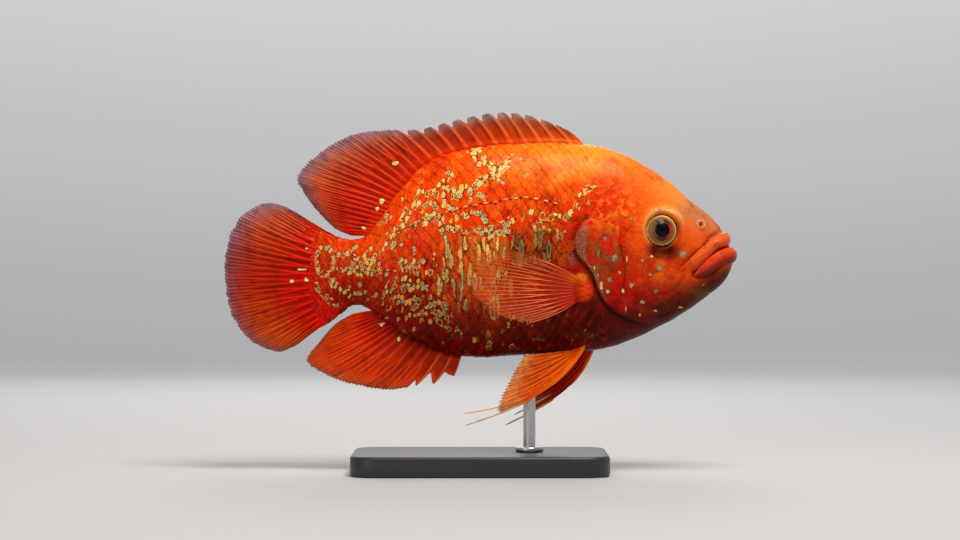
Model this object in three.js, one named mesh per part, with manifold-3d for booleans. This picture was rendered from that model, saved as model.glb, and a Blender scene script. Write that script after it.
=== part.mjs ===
// An oscar, a deep-bodied cichlid kept in aquariums, as a still life-size model on a plain stand.
// It swims level, every fin spread. All sizes are in millimetres. +X is the head end and +Z is up.
// The fish's right side faces -Y. The fish is drawn round its own axis and then raised on the stand.
import * as THREE from "three";
import { mergeVertices } from "three/addons/utils/BufferGeometryUtils.js";
import Module from "manifold-3d";

const wasm = await Module();
wasm.setup();

// The gap that touching pieces keep, and how deep a root is sunk before its carrier is cut away from it.
const GAP = 0.3;
const ROOT_SINK = 1.6;

// The stand, and how far the lowest fin thread hangs below the fish's axis.
const BASE_LENGTH = 124;
const BASE_WIDTH = 76;
const BASE_THICKNESS = 10;
const BASE_CORNER = 12;
const BASE_EDGE = 1.5;
const ROD_RADIUS = 3;
const ROD_FOOT_RADIUS = 7;
const ROD_FOOT_HEIGHT = 2.4;
const ROD_X = 24;
const THREAD_DROP = 76.4;
const THREAD_CLEARANCE = 12;
const AXIS_HEIGHT = BASE_THICKNESS + THREAD_CLEARANCE + THREAD_DROP;

// The body's stations from nose to tail: its back line, its belly line and half its width.
const STATIONS = [
  { x: 123.0, back: 5.8, belly: 3.4, half: 1.6 },
  { x: 121.2, back: 13.2, belly: -1.2, half: 5.6 },
  { x: 117.7, back: 19.4, belly: -6.2, half: 8.6 },
  { x: 112.0, back: 26.1, belly: -11.5, half: 11.0 },
  { x: 103.1, back: 33.1, belly: -18.0, half: 13.2 },
  { x: 91.4, back: 43.3, belly: -25.3, half: 15.6 },
  { x: 79.8, back: 51.1, belly: -31.1, half: 18.2 },
  { x: 68.1, back: 56.9, belly: -36.0, half: 20.2 },
  { x: 56.4, back: 60.3, belly: -38.9, half: 21.0 },
  { x: 40.0, back: 61.9, belly: -40.2, half: 21.0 },
  { x: 22.0, back: 61.6, belly: -41.2, half: 20.2 },
  { x: 4.0, back: 60.5, belly: -42.3, half: 18.9 },
  { x: -12.0, back: 57.8, belly: -41.6, half: 17.0 },
  { x: -26.0, back: 52.2, belly: -37.0, half: 14.6 },
  { x: -38.0, back: 40.4, belly: -30.2, half: 12.2 },
  { x: -47.0, back: 27.6, belly: -24.0, half: 10.0 },
  { x: -54.0, back: 18.0, belly: -19.2, half: 8.2 },
  { x: -61.0, back: 15.2, belly: -17.0, half: 6.4 },
  { x: -68.0, back: 16.3, belly: -22.4, half: 4.2 },
  { x: -75.0, back: 19.8, belly: -28.0, half: 2.4 },
];
// Where the widest level lies between belly and back, and how sharp the back and how full the belly is.
const WIDEST_SHARE = 0.52;
const BACK_SHARPNESS = 1.12;
const BELLY_SHARPNESS = 0.86;
const BODY_RINGS = 40;
const BODY_SIDES = 28;
const TRUNK_END_X = -57.5;
const STALK_END_X = -68;
// The tail swings gently to the fish's left behind this place.
const SWAY_START_X = 20;
const TAIL_SWAY = 5;
const TAIL_TIP_X = -125;

const vector = (x, y, z) => new THREE.Vector3(x, y, z);
const mix = THREE.MathUtils.lerp;
const clamp = THREE.MathUtils.clamp;

// A smooth line through a list of like rows, read at a place between them: 2.5 is half way from row 2 to 3.
function between(rows, place) {
  const start = clamp(Math.floor(place), 0, rows.length - 2);
  const share = place - start;
  const row = (i) => rows[clamp(i, 0, rows.length - 1)];
  const [a, b, c, d] = [row(start - 1), row(start), row(start + 1), row(start + 2)];
  const value = (key) => {
    const out = (c[key] - a[key]) / 2;
    const into = (d[key] - b[key]) / 2;
    const rise = c[key] - b[key];
    return b[key] + share * (out + share * (3 * rise - 2 * out - into + share * (out + into - 2 * rise)));
  };
  return Object.fromEntries(Object.keys(b).map((key) => [key, value(key)]));
}

// The place among the stations at a given x, found by halving, because x falls steadily from nose to tail.
function placeAt(x) {
  let low = 0;
  let high = STATIONS.length - 1;
  for (let i = 0; i < 30; i++) {
    const middle = (low + high) / 2;
    if (between(STATIONS, middle).x > x) low = middle;
    else high = middle;
  }
  return low;
}

const stationAt = (x) => between(STATIONS, placeAt(x));

// How far the tail's swing carries a point sideways.
function sway(x) {
  const share = Math.max(0, SWAY_START_X - x) / (SWAY_START_X - TAIL_TIP_X);
  return TAIL_SWAY * share * share;
}

// A point of the body's skin. The angle runs from 0 at the back, over the left flank, to pi at the belly.
function skinPoint(place, angle, swell = 0) {
  const { x, back, belly, half } = between(STATIONS, place);
  const middle = mix(belly, back, WIDEST_SHARE);
  const up = Math.cos(angle);
  const out = Math.sin(angle);
  const reach = (up > 0 ? back - middle : middle - belly) + swell;
  const sharpness = up > 0 ? BACK_SHARPNESS : BELLY_SHARPNESS;
  const y = Math.sign(out) * (half + swell) * Math.abs(out) ** sharpness;
  return vector(x, y + sway(x), middle + reach * up);
}

// Half the body's width at a point of its side view.
function flankWidth(x, z) {
  const { back, belly, half } = stationAt(x);
  const middle = mix(belly, back, WIDEST_SHARE);
  const up = clamp((z - middle) / (z > middle ? back - middle : middle - belly), -1, 1);
  return half * Math.sqrt(1 - up * up) ** (up > 0 ? BACK_SHARPNESS : BELLY_SHARPNESS);
}

// The skin's level below the fish's middle, at a given x and distance from the middle plane.
function bellyLevel(x, y) {
  const { back, belly, half } = stationAt(x);
  const middle = mix(belly, back, WIDEST_SHARE);
  return middle - (middle - belly) * Math.sqrt(1 - (y / half) ** (2 / BELLY_SHARPNESS));
}

// A closed solid from a geometry, with its faces turned outwards.
function solidOf(geometry) {
  const bare = new THREE.BufferGeometry();
  bare.setAttribute("position", geometry.getAttribute("position"));
  bare.setIndex(geometry.index);
  const merged = mergeVertices(bare, 1e-4);
  const vertProperties = merged.getAttribute("position").array;
  const triVerts = new Uint32Array(merged.index.array);
  const solid = new wasm.Manifold(new wasm.Mesh({ numProp: 3, vertProperties, triVerts }));
  if (solid.volume() > 0) return solid;
  return new wasm.Manifold(new wasm.Mesh({ numProp: 3, vertProperties, triVerts: triVerts.reverse() }));
}

function geometryOf(solid) {
  const { vertProperties, triVerts } = solid.getMesh();
  const geometry = new THREE.BufferGeometry();
  geometry.setAttribute("position", new THREE.BufferAttribute(vertProperties, 3));
  geometry.setIndex(new THREE.BufferAttribute(triVerts, 1));
  return geometry;
}

// The largest of the closed surfaces that a cut or a join leaves.
function largest(solid) {
  return solid.decompose().reduce((a, b) => (a.volume() > b.volume() ? a : b));
}

// A closed skin over like rings of points, with a point at each end.
function loft(rings, firstTip, lastTip) {
  const sides = rings[0].length;
  const points = [firstTip, ...rings.flat(), lastTip];
  const faces = [];
  for (let s = 0; s < sides; s++) {
    const next = (s + 1) % sides;
    faces.push(0, 1 + next, 1 + s);
    for (let r = 0; r < rings.length - 1; r++) {
      const a = 1 + r * sides + s;
      const b = 1 + r * sides + next;
      faces.push(a, b, b + sides, a, b + sides, a + sides);
    }
    const lastRing = 1 + (rings.length - 1) * sides;
    faces.push(lastRing + s, lastRing + next, points.length - 1);
  }
  const geometry = new THREE.BufferGeometry().setFromPoints(points);
  geometry.setIndex(faces);
  return solidOf(geometry);
}

// A block with a given side view, from one y to another.
function block(outline, yStart, yEnd) {
  const shape = new THREE.Shape(outline.map(([x, z]) => new THREE.Vector2(x, z)));
  const depth = yEnd - yStart;
  const geometry = new THREE.ExtrudeGeometry(shape, { depth, bevelEnabled: false, curveSegments: 6 });
  geometry.rotateX(Math.PI / 2);
  geometry.translate(0, yEnd, 0);
  return solidOf(geometry);
}

// The whole body as one solid, swollen by a given amount.
function bodySolid(swell) {
  const last = placeAt(STALK_END_X - 4);
  const rings = [];
  for (let r = 0; r <= BODY_RINGS; r++) {
    const place = last * (r / BODY_RINGS);
    const ring = [];
    for (let s = 0; s < BODY_SIDES; s++) ring.push(skinPoint(place, (2 * Math.PI * s) / BODY_SIDES, swell));
    rings.push(ring);
  }
  const centre = (ring) => ring.reduce((sum, p) => sum.add(p), vector(0, 0, 0)).divideScalar(ring.length);
  const nose = centre(rings[0]).add(vector(0.5 + swell, 0, 0));
  return loft(rings, nose, centre(rings[BODY_RINGS]));
}

// The fins. Each is a membrane held by rays. A guide gives a ray's root and tip, and how far the ray bows.
const MEMBRANE_HALF = 0.27;
const FIN_ROWS = [0, 0.1, 0.26, 0.46, 0.68, 0.86, 1];
const SHEATH_REACH = 0.2;
const SLOPE_STEP = 0.02;
const ROOT_SLOPE_AT = 0.22;

// The columns of a fin: each ray, and the membrane behind it. A web tells how far out the membrane reaches
// behind a spine or thread: near it, and half way to the next ray.
const SPINE_WEB = [0.93, 0.72];
function finColumns(rays) {
  const columns = [];
  rays.forEach(({ place, half, web }, i) => {
    columns.push({ place, reach: 1, half });
    if (i === rays.length - 1) return;
    const gapTo = (share) => mix(place, rays[i + 1].place, share);
    if (web) {
      columns.push({ place: gapTo(0.3), reach: web[0], half: MEMBRANE_HALF });
      columns.push({ place: gapTo(0.62), reach: web[1], half: MEMBRANE_HALF });
    } else columns.push({ place: gapTo(0.5), reach: 0.975, half: MEMBRANE_HALF });
  });
  return columns;
}

// A point of a fin's middle surface: at a place among its guides and a share of the way along the ray.
function finPoint({ guides, wave, bendAt = 0.5 }, place, share) {
  const g = between(guides, place);
  const root = vector(g.x, g.y, g.z);
  const tip = vector(g.tipX, g.tipY, g.tipZ);
  const along = tip.clone().sub(root);
  const bend = root.clone().lerp(tip, bendAt).add(vector(-along.z, 0, along.x).multiplyScalar(g.bow));
  const point = new THREE.QuadraticBezierCurve3(root, bend, tip).getPoint(share);
  point.y += sway(point.x) + wave(place, Math.max(0, share));
  return point;
}

// The middle surface's slopes along a ray and across it to the next one. Near the root, where the rays run
// together, the slopes of a point farther out are taken.
function finSlopes(fin, place, share) {
  const at = Math.max(share, ROOT_SLOPE_AT);
  const along = finPoint(fin, place, at + SLOPE_STEP).sub(finPoint(fin, place, at - SLOPE_STEP)).normalize();
  const across = finPoint(fin, place + SLOPE_STEP, at).sub(finPoint(fin, place - SLOPE_STEP, at));
  return { along, normal: along.clone().cross(across).normalize() };
}

// A fin as one thin closed sheet, split alike on both faces. Its first row is sunk below its root.
// It is sunk along the rays, or along a heading that the fin gives.
function finSheet({ rays, rootHalf, sunk = ROOT_SINK, heading, ...fin }) {
  const columns = finColumns(rays);
  const rows = FIN_ROWS.length + 1;
  const face = (side) =>
    columns.flatMap(({ place, reach, half }) =>
      [0, ...FIN_ROWS].map((v, i) => {
        const share = v * reach;
        const { along, normal } = finSlopes(fin, place, share);
        const sheath = rootHalf * Math.max(0, 1 - v / SHEATH_REACH);
        const thickness = Math.max(sheath, mix(half, MEMBRANE_HALF, v ** 1.5));
        const point = finPoint(fin, place, share).addScaledVector(normal, side * thickness);
        return i ? point : point.addScaledVector(heading ?? along, -sunk);
      }),
    );
  const points = [...face(1), ...face(-1)];
  const other = columns.length * rows;
  const faces = [];
  for (let c = 0; c < columns.length - 1; c++)
    for (let r = 0; r < rows - 1; r++) {
      const [a, b] = [c * rows + r, (c + 1) * rows + r];
      faces.push(a, b, b + 1, a, b + 1, a + 1);
      faces.push(other + a, other + b + 1, other + b, other + a, other + a + 1, other + b + 1);
    }
  const rim = [];
  for (let r = 0; r < rows; r++) rim.push(r);
  for (let c = 1; c < columns.length; c++) rim.push(c * rows + rows - 1);
  for (let r = rows - 2; r >= 0; r--) rim.push((columns.length - 1) * rows + r);
  for (let c = columns.length - 2; c > 0; c--) rim.push(c * rows);
  rim.forEach((a, i) => {
    const b = rim[(i + 1) % rim.length];
    faces.push(a, b, other + b, a, other + b, other + a);
  });
  const geometry = new THREE.BufferGeometry().setFromPoints(points);
  geometry.setIndex(faces);
  return solidOf(geometry);
}

// Rays spread evenly from one place among the guides to another.
function raySet(count, from, to, half, web = null) {
  return Array.from({ length: count }, (_, i) => ({ place: mix(from, to, i / (count - 1)), half, web }));
}

// Guides of a fin in the middle plane: root x on the back or belly line, then the ray's tip.
function medianGuides(rows, line) {
  return rows.map(([x, tipX, tipZ, bow]) => ({
    x, y: 0, z: stationAt(x)[line], tipX, tipY: 0, tipZ, bow,
  }));
}

const DORSAL_GUIDES = medianGuides(
  [
    [50.6, 42.3, 68.1, -0.08],
    [45.7, 35.5, 71.5, -0.1],
    [32.6, 21.4, 75.9, -0.1],
    [19.5, 9.2, 76.8, -0.1],
    [6.3, -4.4, 74.7, -0.1],
    [-6.8, -17.5, 71.5, -0.1],
    [-18.0, -30.6, 68.6, -0.08],
    [-27.2, -46.7, 68.3, -0.06],
    [-35.0, -63.2, 65.7, -0.05],
    [-39.9, -78.8, 56.9, -0.04],
    [-43.8, -89.0, 46.2, -0.02],
    [-47.2, -86.6, 38.4, 0],
    [-50.6, -79.8, 29.2, 0.03],
    [-53.5, -71.0, 20.4, 0.05],
    [-55.4, -63.2, 17.0, 0.05],
  ],
  "back",
);
const ANAL_GUIDES = medianGuides(
  [
    [-9.2, -12.6, -51.6, 0.04],
    [-13.6, -22.4, -55.5, 0.06],
    [-19.0, -31.1, -56.5, 0.06],
    [-26.8, -46.2, -58.2, 0.06],
    [-35.0, -63.2, -55.5, 0.06],
    [-40.9, -76.8, -50.4, 0.05],
    [-44.8, -84.6, -44.3, 0.03],
    [-48.2, -79.8, -36.5, 0.01],
    [-50.6, -70.5, -26.3, -0.02],
    [-53.0, -62.3, -21.4, -0.03],
  ],
  "belly",
);
// The tail fin's guides run from its top ray to its bottom ray, from the end of the tail stalk.
const TAIL_TIPS = [
  [-96.5, 32.4], [-108.5, 31.8], [-116.7, 26.2], [-121.6, 18.4], [-124.0, 9.7], [-124.9, 0.5],
  [-124.3, -8.8], [-122.6, -18.0], [-118.2, -27.3], [-109.0, -35.5], [-94.4, -39.4],
];
const STALK_END = stationAt(STALK_END_X);
const TAIL_GUIDES = TAIL_TIPS.map(([tipX, tipZ], i) => {
  const share = i / (TAIL_TIPS.length - 1);
  const z = mix(STALK_END.back - 0.4, STALK_END.belly + 0.4, share);
  return { x: STALK_END_X - GAP, y: 0, z, tipX, tipY: 0, tipZ, bow: mix(0.03, -0.03, share) };
});

// The paired fins, for the right side. A root is given in the side view and laid on the flank.
const PELVIC_ROOT = 5.4;
const PECTORAL_SPREAD = 17;
const PECTORAL_SET = 0.9;
const PECTORAL_TIPS = [
  [8.3, 10.2], [-1.0, 7.8], [-5.8, 2.4], [-6.3, -4.9], [-2.9, -12.2], [4.9, -19.0], [13.6, -23.3],
  [24.3, -25.3],
];
function pectoralGuides(side) {
  return PECTORAL_TIPS.map(([tipX, tipZ], i) => {
    const share = i / (PECTORAL_TIPS.length - 1);
    const [x, z] = [mix(49.1, 44.3, share), mix(-3.5, -17.5, share)];
    const y = side * (flankWidth(x, z) - PECTORAL_SET);
    const tipY = side * (flankWidth(tipX, tipZ) + PECTORAL_SPREAD * (1 - 0.3 * share));
    return { x, y, z, tipX, tipY, tipZ, bow: mix(-0.05, 0.05, share) };
  });
}
// A pelvic fin's rays, from the leading ray to the short one nearest the belly: each ray's tip in the side
// view, its bow, and how far its tip is spread from the middle plane. The first rays run on as long threads.
const PELVIC_FINS = {
  right: {
    rootX: 50.2,
    tips: [
      [8.9, -68.8, 0.2, 13.0], [8.1, -66.7, 0.19, 14.0], [8.8, -64.4, 0.17, 14.5],
      [12.2, -57.0, 0.1, 14.5], [16.5, -48.6, 0.05, 13.5], [21.1, -41.2, 0, 12.5],
    ],
    threads: [[-7.2, -74.8, 13.5], [-7.9, -68.9, 15.5]],
  },
  left: {
    rootX: 55.6,
    tips: [
      [21.6, -70.6, 0.25, 13.0], [22.0, -67.4, 0.22, 14.0], [23.6, -63.6, 0.17, 14.5],
      [26.0, -56.3, 0.1, 14.5], [28.6, -49.0, 0.05, 13.5], [32.0, -42.0, 0, 12.5],
    ],
    threads: [[12.4, -76.2, 13.5], [16.4, -71.4, 15.0]],
  },
};
const PELVIC_BEND_AT = 0.44;
const PELVIC_SPINE_REACH = 0.47;
const THREAD_START = 0.7;
const THREAD_BEND = 0.36;
const PELVIC_HEADING = vector(-0.35, 0, -0.94);
function pelvicGuides(side, { rootX, tips }) {
  return tips.map(([tipX, tipZ, bow, tipY], i) => {
    const share = i / (tips.length - 1);
    const x = rootX - PELVIC_ROOT * share;
    const y = mix(7.5, 5, share);
    const z = bellyLevel(x, y);
    return { x, y: side * y, z, tipX, tipY: side * tipY, tipZ, bow };
  });
}

// A round strand that tapers along a curve: a spine or a thread.
const STRAND_SIDES = 5;
const STRAND_STEPS = 6;
function strand(curve, startRadius, endRadius) {
  const rings = [];
  for (let step = 0; step <= STRAND_STEPS; step++) {
    const share = step / STRAND_STEPS;
    const along = curve.getTangent(share);
    const across = vector(0, 1, 0).cross(along).normalize();
    const up = along.clone().cross(across);
    const radius = mix(startRadius, endRadius, share);
    const ring = [];
    for (let s = 0; s < STRAND_SIDES; s++) {
      const angle = (2 * Math.PI * s) / STRAND_SIDES;
      const point = curve.getPoint(share).addScaledVector(across, radius * Math.cos(angle));
      ring.push(point.addScaledVector(up, radius * Math.sin(angle)));
    }
    rings.push(ring);
  }
  return loft(rings, curve.getPoint(0), curve.getPoint(1));
}

// A pelvic fin: its sheet, the spine on its leading edge and the threads that its first rays end in.
function pelvicFin(side, shape) {
  const fin = { guides: pelvicGuides(side, shape), wave: still, bendAt: PELVIC_BEND_AT };
  const sheet = finSheet({ ...fin, rays: raySet(10, 0, 5, 0.6), rootHalf: 1, heading: PELVIC_HEADING });
  const along = [-0.03, 0.15, 0.3, PELVIC_SPINE_REACH].map((share) => finPoint(fin, 0, share));
  const spine = strand(new THREE.CatmullRomCurve3(along), 1, 0.6);
  const threads = shape.threads.map(([x, z, y], i) => {
    const start = finPoint(fin, i, THREAD_START);
    const tip = vector(x, side * y, z);
    const heading = finSlopes(fin, i, THREAD_START).along;
    const bend = start.clone().addScaledVector(heading, THREAD_BEND * start.distanceTo(tip));
    return strand(new THREE.QuadraticBezierCurve3(start, bend, tip), 0.55, 0.3);
  });
  return threads.reduce((joined, thread) => joined.add(thread), sheet.add(spine));
}

const still = () => 0;
const dorsalWave = (place, v) => 1.6 * v * Math.sin(place * 1.1);
const analWave = (place, v) => -1.4 * v * Math.sin(place * 0.9);
const tailWave = (place, v) => 1.8 * v * v * Math.sin(place * 1.3);

// The head's own forms: the rim round each eye, the eye, the nostril and the gill cover's outline.
const EYE_X = 87.4;
const EYE_Z = 19.2;
const EYE_RADIUS = 7.9;
const EYE_DEPTH = 5.2;
const EYE_PROUD = 1.3;
const ORBIT_X = 88.4;
const ORBIT_Z = 19.0;
const ORBIT_RADIUS = 9.6;
const ORBIT_RIM = 1.5;
const NOSTRIL_X = 106.7;
const NOSTRIL_Z = 22.0;
const NOSTRIL_RADIUS = 0.8;
const NOSTRIL_RIM = 0.7;
const GILL_RAISED = 1.1;
const GILL_THICKNESS = 2.4;
const GILL_OUTLINE = [
  [51.6, 25.7], [58.4, 28.0], [65.2, 25.8], [68.1, 18.4], [69.6, 9.7], [70.0, 0], [71.5, -9.8], [76.4, -18.0],
  [81.6, -24.2], [73.0, -23.6], [64.2, -19.0], [59.3, -13.7], [55.9, -6.4], [51.6, 1.9], [46.7, 8.7],
  [45.7, 13.6], [48.2, 20.4],
];
// The head ends behind the nape, under the gill covers and at the throat.
const HEAD_EDGE = [[56, 70], [57, 25], [61, 4], [72, -20], [81, -25.4], [88, -36]];

// A closed outline grown by an amount, each corner along its own outward line.
function grown(outline, amount) {
  const count = outline.length;
  const turn = Math.sign(THREE.ShapeUtils.area(outline.map(([x, y]) => new THREE.Vector2(x, y))));
  return outline.map(([x, z], i) => {
    const [px, pz] = outline[(i + count - 1) % count];
    const [nx, nz] = outline[(i + 1) % count];
    const length = Math.hypot(nx - px, nz - pz);
    return [x + (turn * amount * (nz - pz)) / length, z - (turn * amount * (nx - px)) / length];
  });
}

// Stands a form that is drawn facing +Z on the head's side, facing outwards.
function onCheek(solid, x, z, proud, side) {
  const step = 3;
  const slope = (flankWidth(x + step, z) - flankWidth(x - step, z)) / (2 * step);
  const tilt = (flankWidth(x, z + step) - flankWidth(x, z - step)) / (2 * step);
  const outward = vector(-slope, side, -tilt).normalize();
  const turn = new THREE.Quaternion().setFromUnitVectors(vector(0, 0, 1), outward);
  const at = vector(x, side * flankWidth(x, z), z).addScaledVector(outward, proud);
  const matrix = new THREE.Matrix4().compose(at, turn, vector(1, 1, 1));
  return solid.transform(matrix.toArray());
}

function eyeSolid(side, extra = 0) {
  const ball = new THREE.SphereGeometry(1, 16, 10);
  ball.scale(EYE_RADIUS + extra, EYE_RADIUS + extra, EYE_DEPTH + extra);
  return onCheek(solidOf(ball), EYE_X, EYE_Z, EYE_PROUD - EYE_DEPTH, side);
}

function orbitRim(side) {
  const ring = solidOf(new THREE.TorusGeometry(ORBIT_RADIUS, ORBIT_RIM, 6, 20));
  return onCheek(ring, ORBIT_X, ORBIT_Z, -0.5, side);
}

function nostrilRim(side) {
  const ring = solidOf(new THREE.TorusGeometry(NOSTRIL_RADIUS + NOSTRIL_RIM, NOSTRIL_RIM, 5, 8));
  return onCheek(ring, NOSTRIL_X, NOSTRIL_Z, 0.1, side);
}

function nostrilPit(side) {
  const pit = new THREE.CylinderGeometry(NOSTRIL_RADIUS, NOSTRIL_RADIUS, 5, 8);
  pit.rotateX(Math.PI / 2);
  return onCheek(solidOf(pit), NOSTRIL_X, NOSTRIL_Z, 0.6, side);
}

// A lip: a soft roll that runs round the front of the jaw. Each row is a point of its side view, with its
// half height and its depth. The front row lies in the middle plane.
const UPPER_LIP = [
  { x: 100.4, z: 0.6, high: 2.2, deep: 1.6, out: -0.6 },
  { x: 102.6, z: 2.3, high: 3.9, deep: 2.6, out: -0.8 },
  { x: 107.2, z: 6.8, high: 3.3, deep: 2.7, out: -0.9 },
  { x: 112.6, z: 11.7, high: 3.1, deep: 2.7, out: -0.8 },
  { x: 117.3, z: 14.2, high: 3.3, deep: 2.8, out: -0.6 },
];
const UPPER_LIP_FRONT = { x: 119.0, z: 14.9, high: 3.7, deep: 2.8, out: 0 };
const LOWER_LIP = [
  { x: 103.8, z: -3.2, high: 1.0, deep: 1.0, out: -0.3 },
  { x: 106.8, z: -1.4, high: 2.1, deep: 2.0, out: -0.6 },
  { x: 111.6, z: 2.9, high: 3.0, deep: 2.6, out: -0.7 },
  { x: 116.6, z: 6.1, high: 3.5, deep: 2.9, out: -0.7 },
  { x: 120.6, z: 7.0, high: 3.9, deep: 3.1, out: -0.8 },
];
const LOWER_LIP_FRONT = { x: 121.9, z: 7.1, high: 4.1, deep: 3.1, out: 0 };
const LIP_SIDES = 8;
const LIP_STEPS = 20;
const LIP_AXIS_X = 100;

function lipSolid(rows, front, extra = 0) {
  const sideRow = (side) => (row) => ({ ...row, y: side * (flankWidth(row.x, row.z) + row.out) });
  const path = [...rows.map(sideRow(-1)), { ...front, y: 0 }, ...rows.map(sideRow(1)).reverse()];
  const at = (step) => between(path, (step / LIP_STEPS) * (path.length - 1));
  const rings = [];
  for (let step = 0; step <= LIP_STEPS; step++) {
    const here = at(step);
    const [before, after] = [at(Math.max(0, step - 0.5)), at(Math.min(LIP_STEPS, step + 0.5))];
    const along = vector(after.x - before.x, after.y - before.y, after.z - before.z).normalize();
    const outward = vector(here.x - LIP_AXIS_X, here.y, 0);
    outward.addScaledVector(along, -outward.dot(along)).normalize();
    const across = along.clone().cross(outward);
    const ring = [];
    for (let s = 0; s < LIP_SIDES; s++) {
      const angle = (2 * Math.PI * s) / LIP_SIDES;
      const point = vector(here.x, here.y, here.z);
      point.addScaledVector(outward, (here.deep + extra) * Math.cos(angle));
      ring.push(point.addScaledVector(across, (here.high + extra) * Math.sin(angle)));
    }
    rings.push(ring);
  }
  const tip = (step, inner) => {
    const [end, inside] = [at(step), at(inner)];
    const outwards = vector(end.x - inside.x, end.y - inside.y, end.z - inside.z).normalize();
    return vector(end.x, end.y, end.z).addScaledVector(outwards, 0.6 + extra);
  };
  return loft(rings, tip(0, 1), tip(LIP_STEPS, LIP_STEPS - 1));
}

// The two sides, with the y sign of each.
const SIDES = { right: -1, left: 1 };
const FAR = 60;

// A gill cover: a plate of the cheek's own curve, raised over the flank behind it.
function gillCover(side, outline, outer, inner) {
  const [low, high] = side > 0 ? [4, FAR] : [-FAR, -4];
  return outer.intersect(block(outline, low, high)).subtract(inner);
}

function makeBody() {
  const body = bodySolid(0);
  const raised = bodySolid(GILL_RAISED);
  const under = bodySolid(-GILL_THICKNESS);
  const seat = bodySolid(-GILL_THICKNESS - GAP);
  const upperLip = lipSolid(UPPER_LIP, UPPER_LIP_FRONT);
  const lowerLip = largest(
    lipSolid(LOWER_LIP, LOWER_LIP_FRONT).subtract(lipSolid(UPPER_LIP, UPPER_LIP_FRONT, GAP)),
  );
  const nodes = { upper_lip: upperLip, lower_lip: lowerLip };
  let flesh = body;
  for (const [name, side] of Object.entries(SIDES)) {
    nodes[`gill_cover_${name}`] = largest(gillCover(side, GILL_OUTLINE, raised, under));
    flesh = flesh.subtract(gillCover(side, grown(GILL_OUTLINE, GAP), raised, seat));
  }
  const headSide = [...HEAD_EDGE, [140, -60], [140, 90]];
  const cutLine = HEAD_EDGE.map(([x, z]) => [x - GAP, z]);
  const behindHead = [...cutLine, [88, -90], [-140, -90], [-140, 90], [56, 90]];
  let head = flesh.intersect(block(headSide, -FAR, FAR));
  for (const [name, side] of Object.entries(SIDES)) {
    head = head.add(orbitRim(side)).add(nostrilRim(side));
    head = head.subtract(eyeSolid(side, GAP)).subtract(nostrilPit(side));
    nodes[`eye_${name}`] = eyeSolid(side);
  }
  head = head.subtract(lipSolid(UPPER_LIP, UPPER_LIP_FRONT, GAP));
  nodes.head = largest(head.subtract(lipSolid(LOWER_LIP, LOWER_LIP_FRONT, GAP)));
  const rump = flesh.intersect(block(behindHead, -FAR, FAR));
  const slab = (from, to) => block([[from, -90], [to, -90], [to, 90], [from, 90]], -FAR, FAR);
  nodes.trunk = largest(rump.intersect(slab(TRUNK_END_X, 140)));
  nodes.tail_stalk = largest(rump.intersect(slab(STALK_END_X, TRUNK_END_X - GAP)));
  return nodes;
}

function makeFins() {
  const cutter = bodySolid(GAP);
  const seated = (fin) => largest(fin.subtract(cutter));
  const nodes = {
    dorsal_fin: seated(
      finSheet({
        guides: DORSAL_GUIDES,
        rays: [...raySet(13, 0.1, 6.6, 0.8, SPINE_WEB), ...raySet(20, 7.05, 14, 0.6)],
        rootHalf: 1.3,
        wave: dorsalWave,
      }),
    ),
    anal_fin: seated(
      finSheet({
        guides: ANAL_GUIDES,
        rays: [...raySet(3, 0, 2, 0.8, SPINE_WEB), ...raySet(16, 2.6, 9, 0.6)],
        rootHalf: 1.2,
        wave: analWave,
      }),
    ),
    tail_fin: finSheet({
      guides: TAIL_GUIDES,
      rays: raySet(17, 0, 10, 0.75),
      rootHalf: 2.2,
      wave: tailWave,
      sunk: 0,
    }),
  };
  for (const [name, side] of Object.entries(SIDES)) {
    nodes[`pectoral_fin_${name}`] = seated(
      finSheet({ guides: pectoralGuides(side), rays: raySet(14, 0, 7, 0.5), rootHalf: 1.1, wave: still }),
    );
    nodes[`pelvic_fin_${name}`] = seated(pelvicFin(side, PELVIC_FINS[name]));
  }
  return nodes;
}

// The stand: a flat base with rounded corners, and a rod with a foot that meets the belly.
function makeStand() {
  const shape = new THREE.Shape();
  const [halfLength, halfWidth, corner] = [
    BASE_LENGTH / 2 - BASE_EDGE,
    BASE_WIDTH / 2 - BASE_EDGE,
    BASE_CORNER - BASE_EDGE,
  ];
  [[1, 1, 0], [-1, 1, 0.5], [-1, -1, 1], [1, -1, 1.5]].forEach(([x, y, start]) => {
    const [cx, cy] = [x * (halfLength - corner), y * (halfWidth - corner)];
    shape.absarc(cx, cy, corner, start * Math.PI, (start + 0.5) * Math.PI, false);
  });
  shape.closePath();
  const base = new THREE.ExtrudeGeometry(shape, {
    depth: BASE_THICKNESS - 2 * BASE_EDGE,
    bevelThickness: BASE_EDGE,
    bevelSize: BASE_EDGE,
    bevelSegments: 2,
    curveSegments: 5,
  });
  base.translate(0, 0, BASE_EDGE);
  const bottom = BASE_THICKNESS + GAP;
  const top = AXIS_HEIGHT + stationAt(ROD_X).belly + 4;
  const profile = [
    [0, bottom],
    [ROD_FOOT_RADIUS, bottom],
    [ROD_FOOT_RADIUS, bottom + ROD_FOOT_HEIGHT * 0.6],
    [ROD_FOOT_RADIUS - 1, bottom + ROD_FOOT_HEIGHT],
    [ROD_RADIUS, bottom + ROD_FOOT_HEIGHT],
    [ROD_RADIUS, top],
    [0, top],
  ].map(([r, z]) => new THREE.Vector2(r, z));
  const rod = new THREE.LatheGeometry(profile, 20);
  rod.rotateX(Math.PI / 2);
  rod.translate(ROD_X, 0, 0);
  const belly = bodySolid(GAP).translate([0, 0, AXIS_HEIGHT]);
  return { stand_base: solidOf(base), stand_rod: largest(solidOf(rod).subtract(belly)) };
}

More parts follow.
